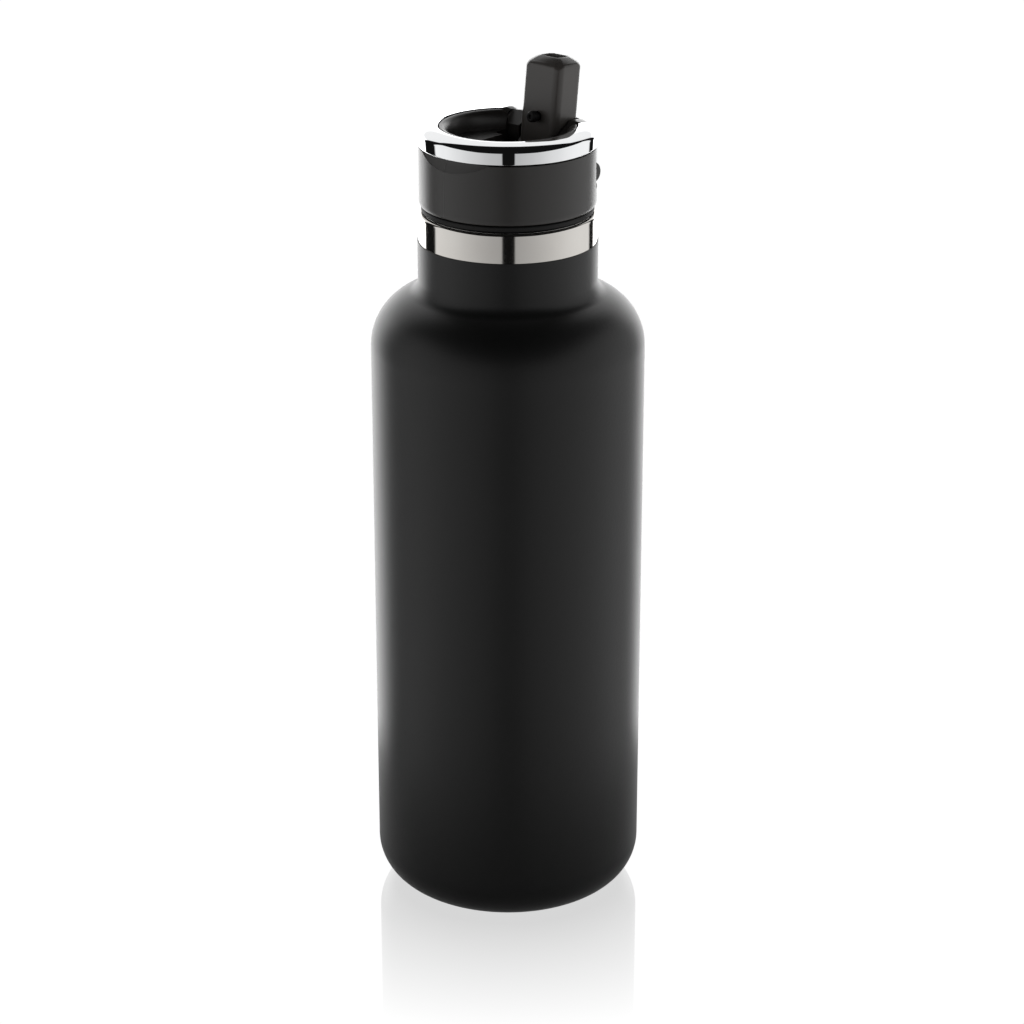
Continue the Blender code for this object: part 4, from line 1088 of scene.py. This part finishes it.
paint = Finish("pale_table")
away = paint.node("ShaderNodeVectorMath", {"operation": "LENGTH"}, {0: paint.place}, output=1)
shine = paint.node("ShaderNodeMapRange", None, {
    "Value": away, "From Min": SHINE_START, "From Max": SHINE_END, "To Min": 0.34, "To Max": 0.0})
glow = paint.node("ShaderNodeEmission", None, {"Color": (1, 1, 1, 1), "Strength": WHITE})
mirror = paint.node("ShaderNodeBsdfGlossy", None, {"Color": (1, 1, 1, 1), "Roughness": 0.03})
paint.node("ShaderNodeOutputMaterial", None, {
    "Surface": paint.node("ShaderNodeMixShader", None, {"Fac": shine, 1: glow, 2: mirror})})
table_shape = bmesh.new()
bmesh.ops.create_circle(table_shape, cap_ends=True, segments=128, radius=TABLE_R)
table = kept(table_shape, "table", paint.material)
table.visible_diffuse = False
table.visible_glossy = False
table.visible_shadow = False

shade_paint = Finish("table_shade")
mottle = shade_paint.grain(30 * MM)
shade_paint.surface(shade_paint.blend(mottle, (0.9, 0.9, 0.9), (0.95, 0.95, 0.95)), 0.9,
                    shade_paint.raised(mottle, 0.01 * MM), Specular_IOR_Level=0.0)
shade = placed("table_shade", table.data.copy(), shade_paint.material)
shade.data.transform(Matrix.Translation((0, 0, -SHADE_DROP))
                     @ Matrix.Diagonal((SHADE_SHARE, SHADE_SHARE, 1, 1)))
shade.visible_camera = False

world = bpy.data.worlds.new("studio")
world.use_nodes = True
bpy.context.scene.world = world
room = Tree(world.node_tree)
way = room.node("ShaderNodeTexCoord", output=0)


def towards(direction):
    """How far a view into the room points along a direction, from -1 to 1."""
    return room.node("ShaderNodeVectorMath", {"operation": "DOT_PRODUCT"}, {0: way, 1: direction}, output=1)


front = towards((math.sin(CAMERA_TURN), -math.cos(CAMERA_TURN), 0))
right = towards((math.cos(CAMERA_TURN), math.sin(CAMERA_TURN), 0))
up = towards((0, 0, 1))
turn = right.math("ARCTAN2", right, front) * (180 / math.pi)
RIGHT_PANEL = (8, 126)  # degrees round from the camera to each side of a panel
LEFT_PANEL = (6, 104)
BACK_SIDES = (140, 129)  # and to the right and left sides of the backdrop
NEAR_SOFT = 2
FAR_SOFT = 4
PANEL_LOW_TOP = 0.42
PANEL_RISE = 0.74
SPILL = 0.006


def far_side(way_round, bearing):
    """Soft step at a bearing."""
    return room.step(way_round, bearing, bearing + FAR_SOFT)


def panel_band(way_round, start, end):
    """A panel between two bearings, crisp at its near side and softer at its far side."""
    return room.step(way_round, start, start + NEAR_SOFT) * (1 - far_side(way_round, end))


right_panel = panel_band(turn, *RIGHT_PANEL)
left_panel = panel_band(0 - turn, *LEFT_PANEL)
panel_top = right.math("MAXIMUM", PANEL_LOW_TOP, PANEL_RISE * abs(right))
panel = (right_panel + left_panel) * (1 - room.step(up - panel_top, -0.02, 0.03))
panel_light = panel * (0.5 + 0.5 * room.step(abs(turn), 0, 110))
back = far_side(turn, BACK_SIDES[0]) + far_side(0 - turn, BACK_SIDES[1])
back = back * room.step(0 - front - 0.78 * up, -0.02, 0.02)
back_light = back * (0.97 + 2.1 * (1 - room.step(up, 0.2, 0.36)))
light = panel_light + back_light + SPILL
seen = room.node("ShaderNodeLightPath", output=0)
shown = room.node("ShaderNodeMix", {"data_type": "FLOAT"}, {"Factor": seen, 2: light, 3: WHITE})
room.node("ShaderNodeOutputWorld", None, {
    "Surface": room.node("ShaderNodeBackground", None, {"Color": (1, 1, 1, 1), "Strength": shown})})
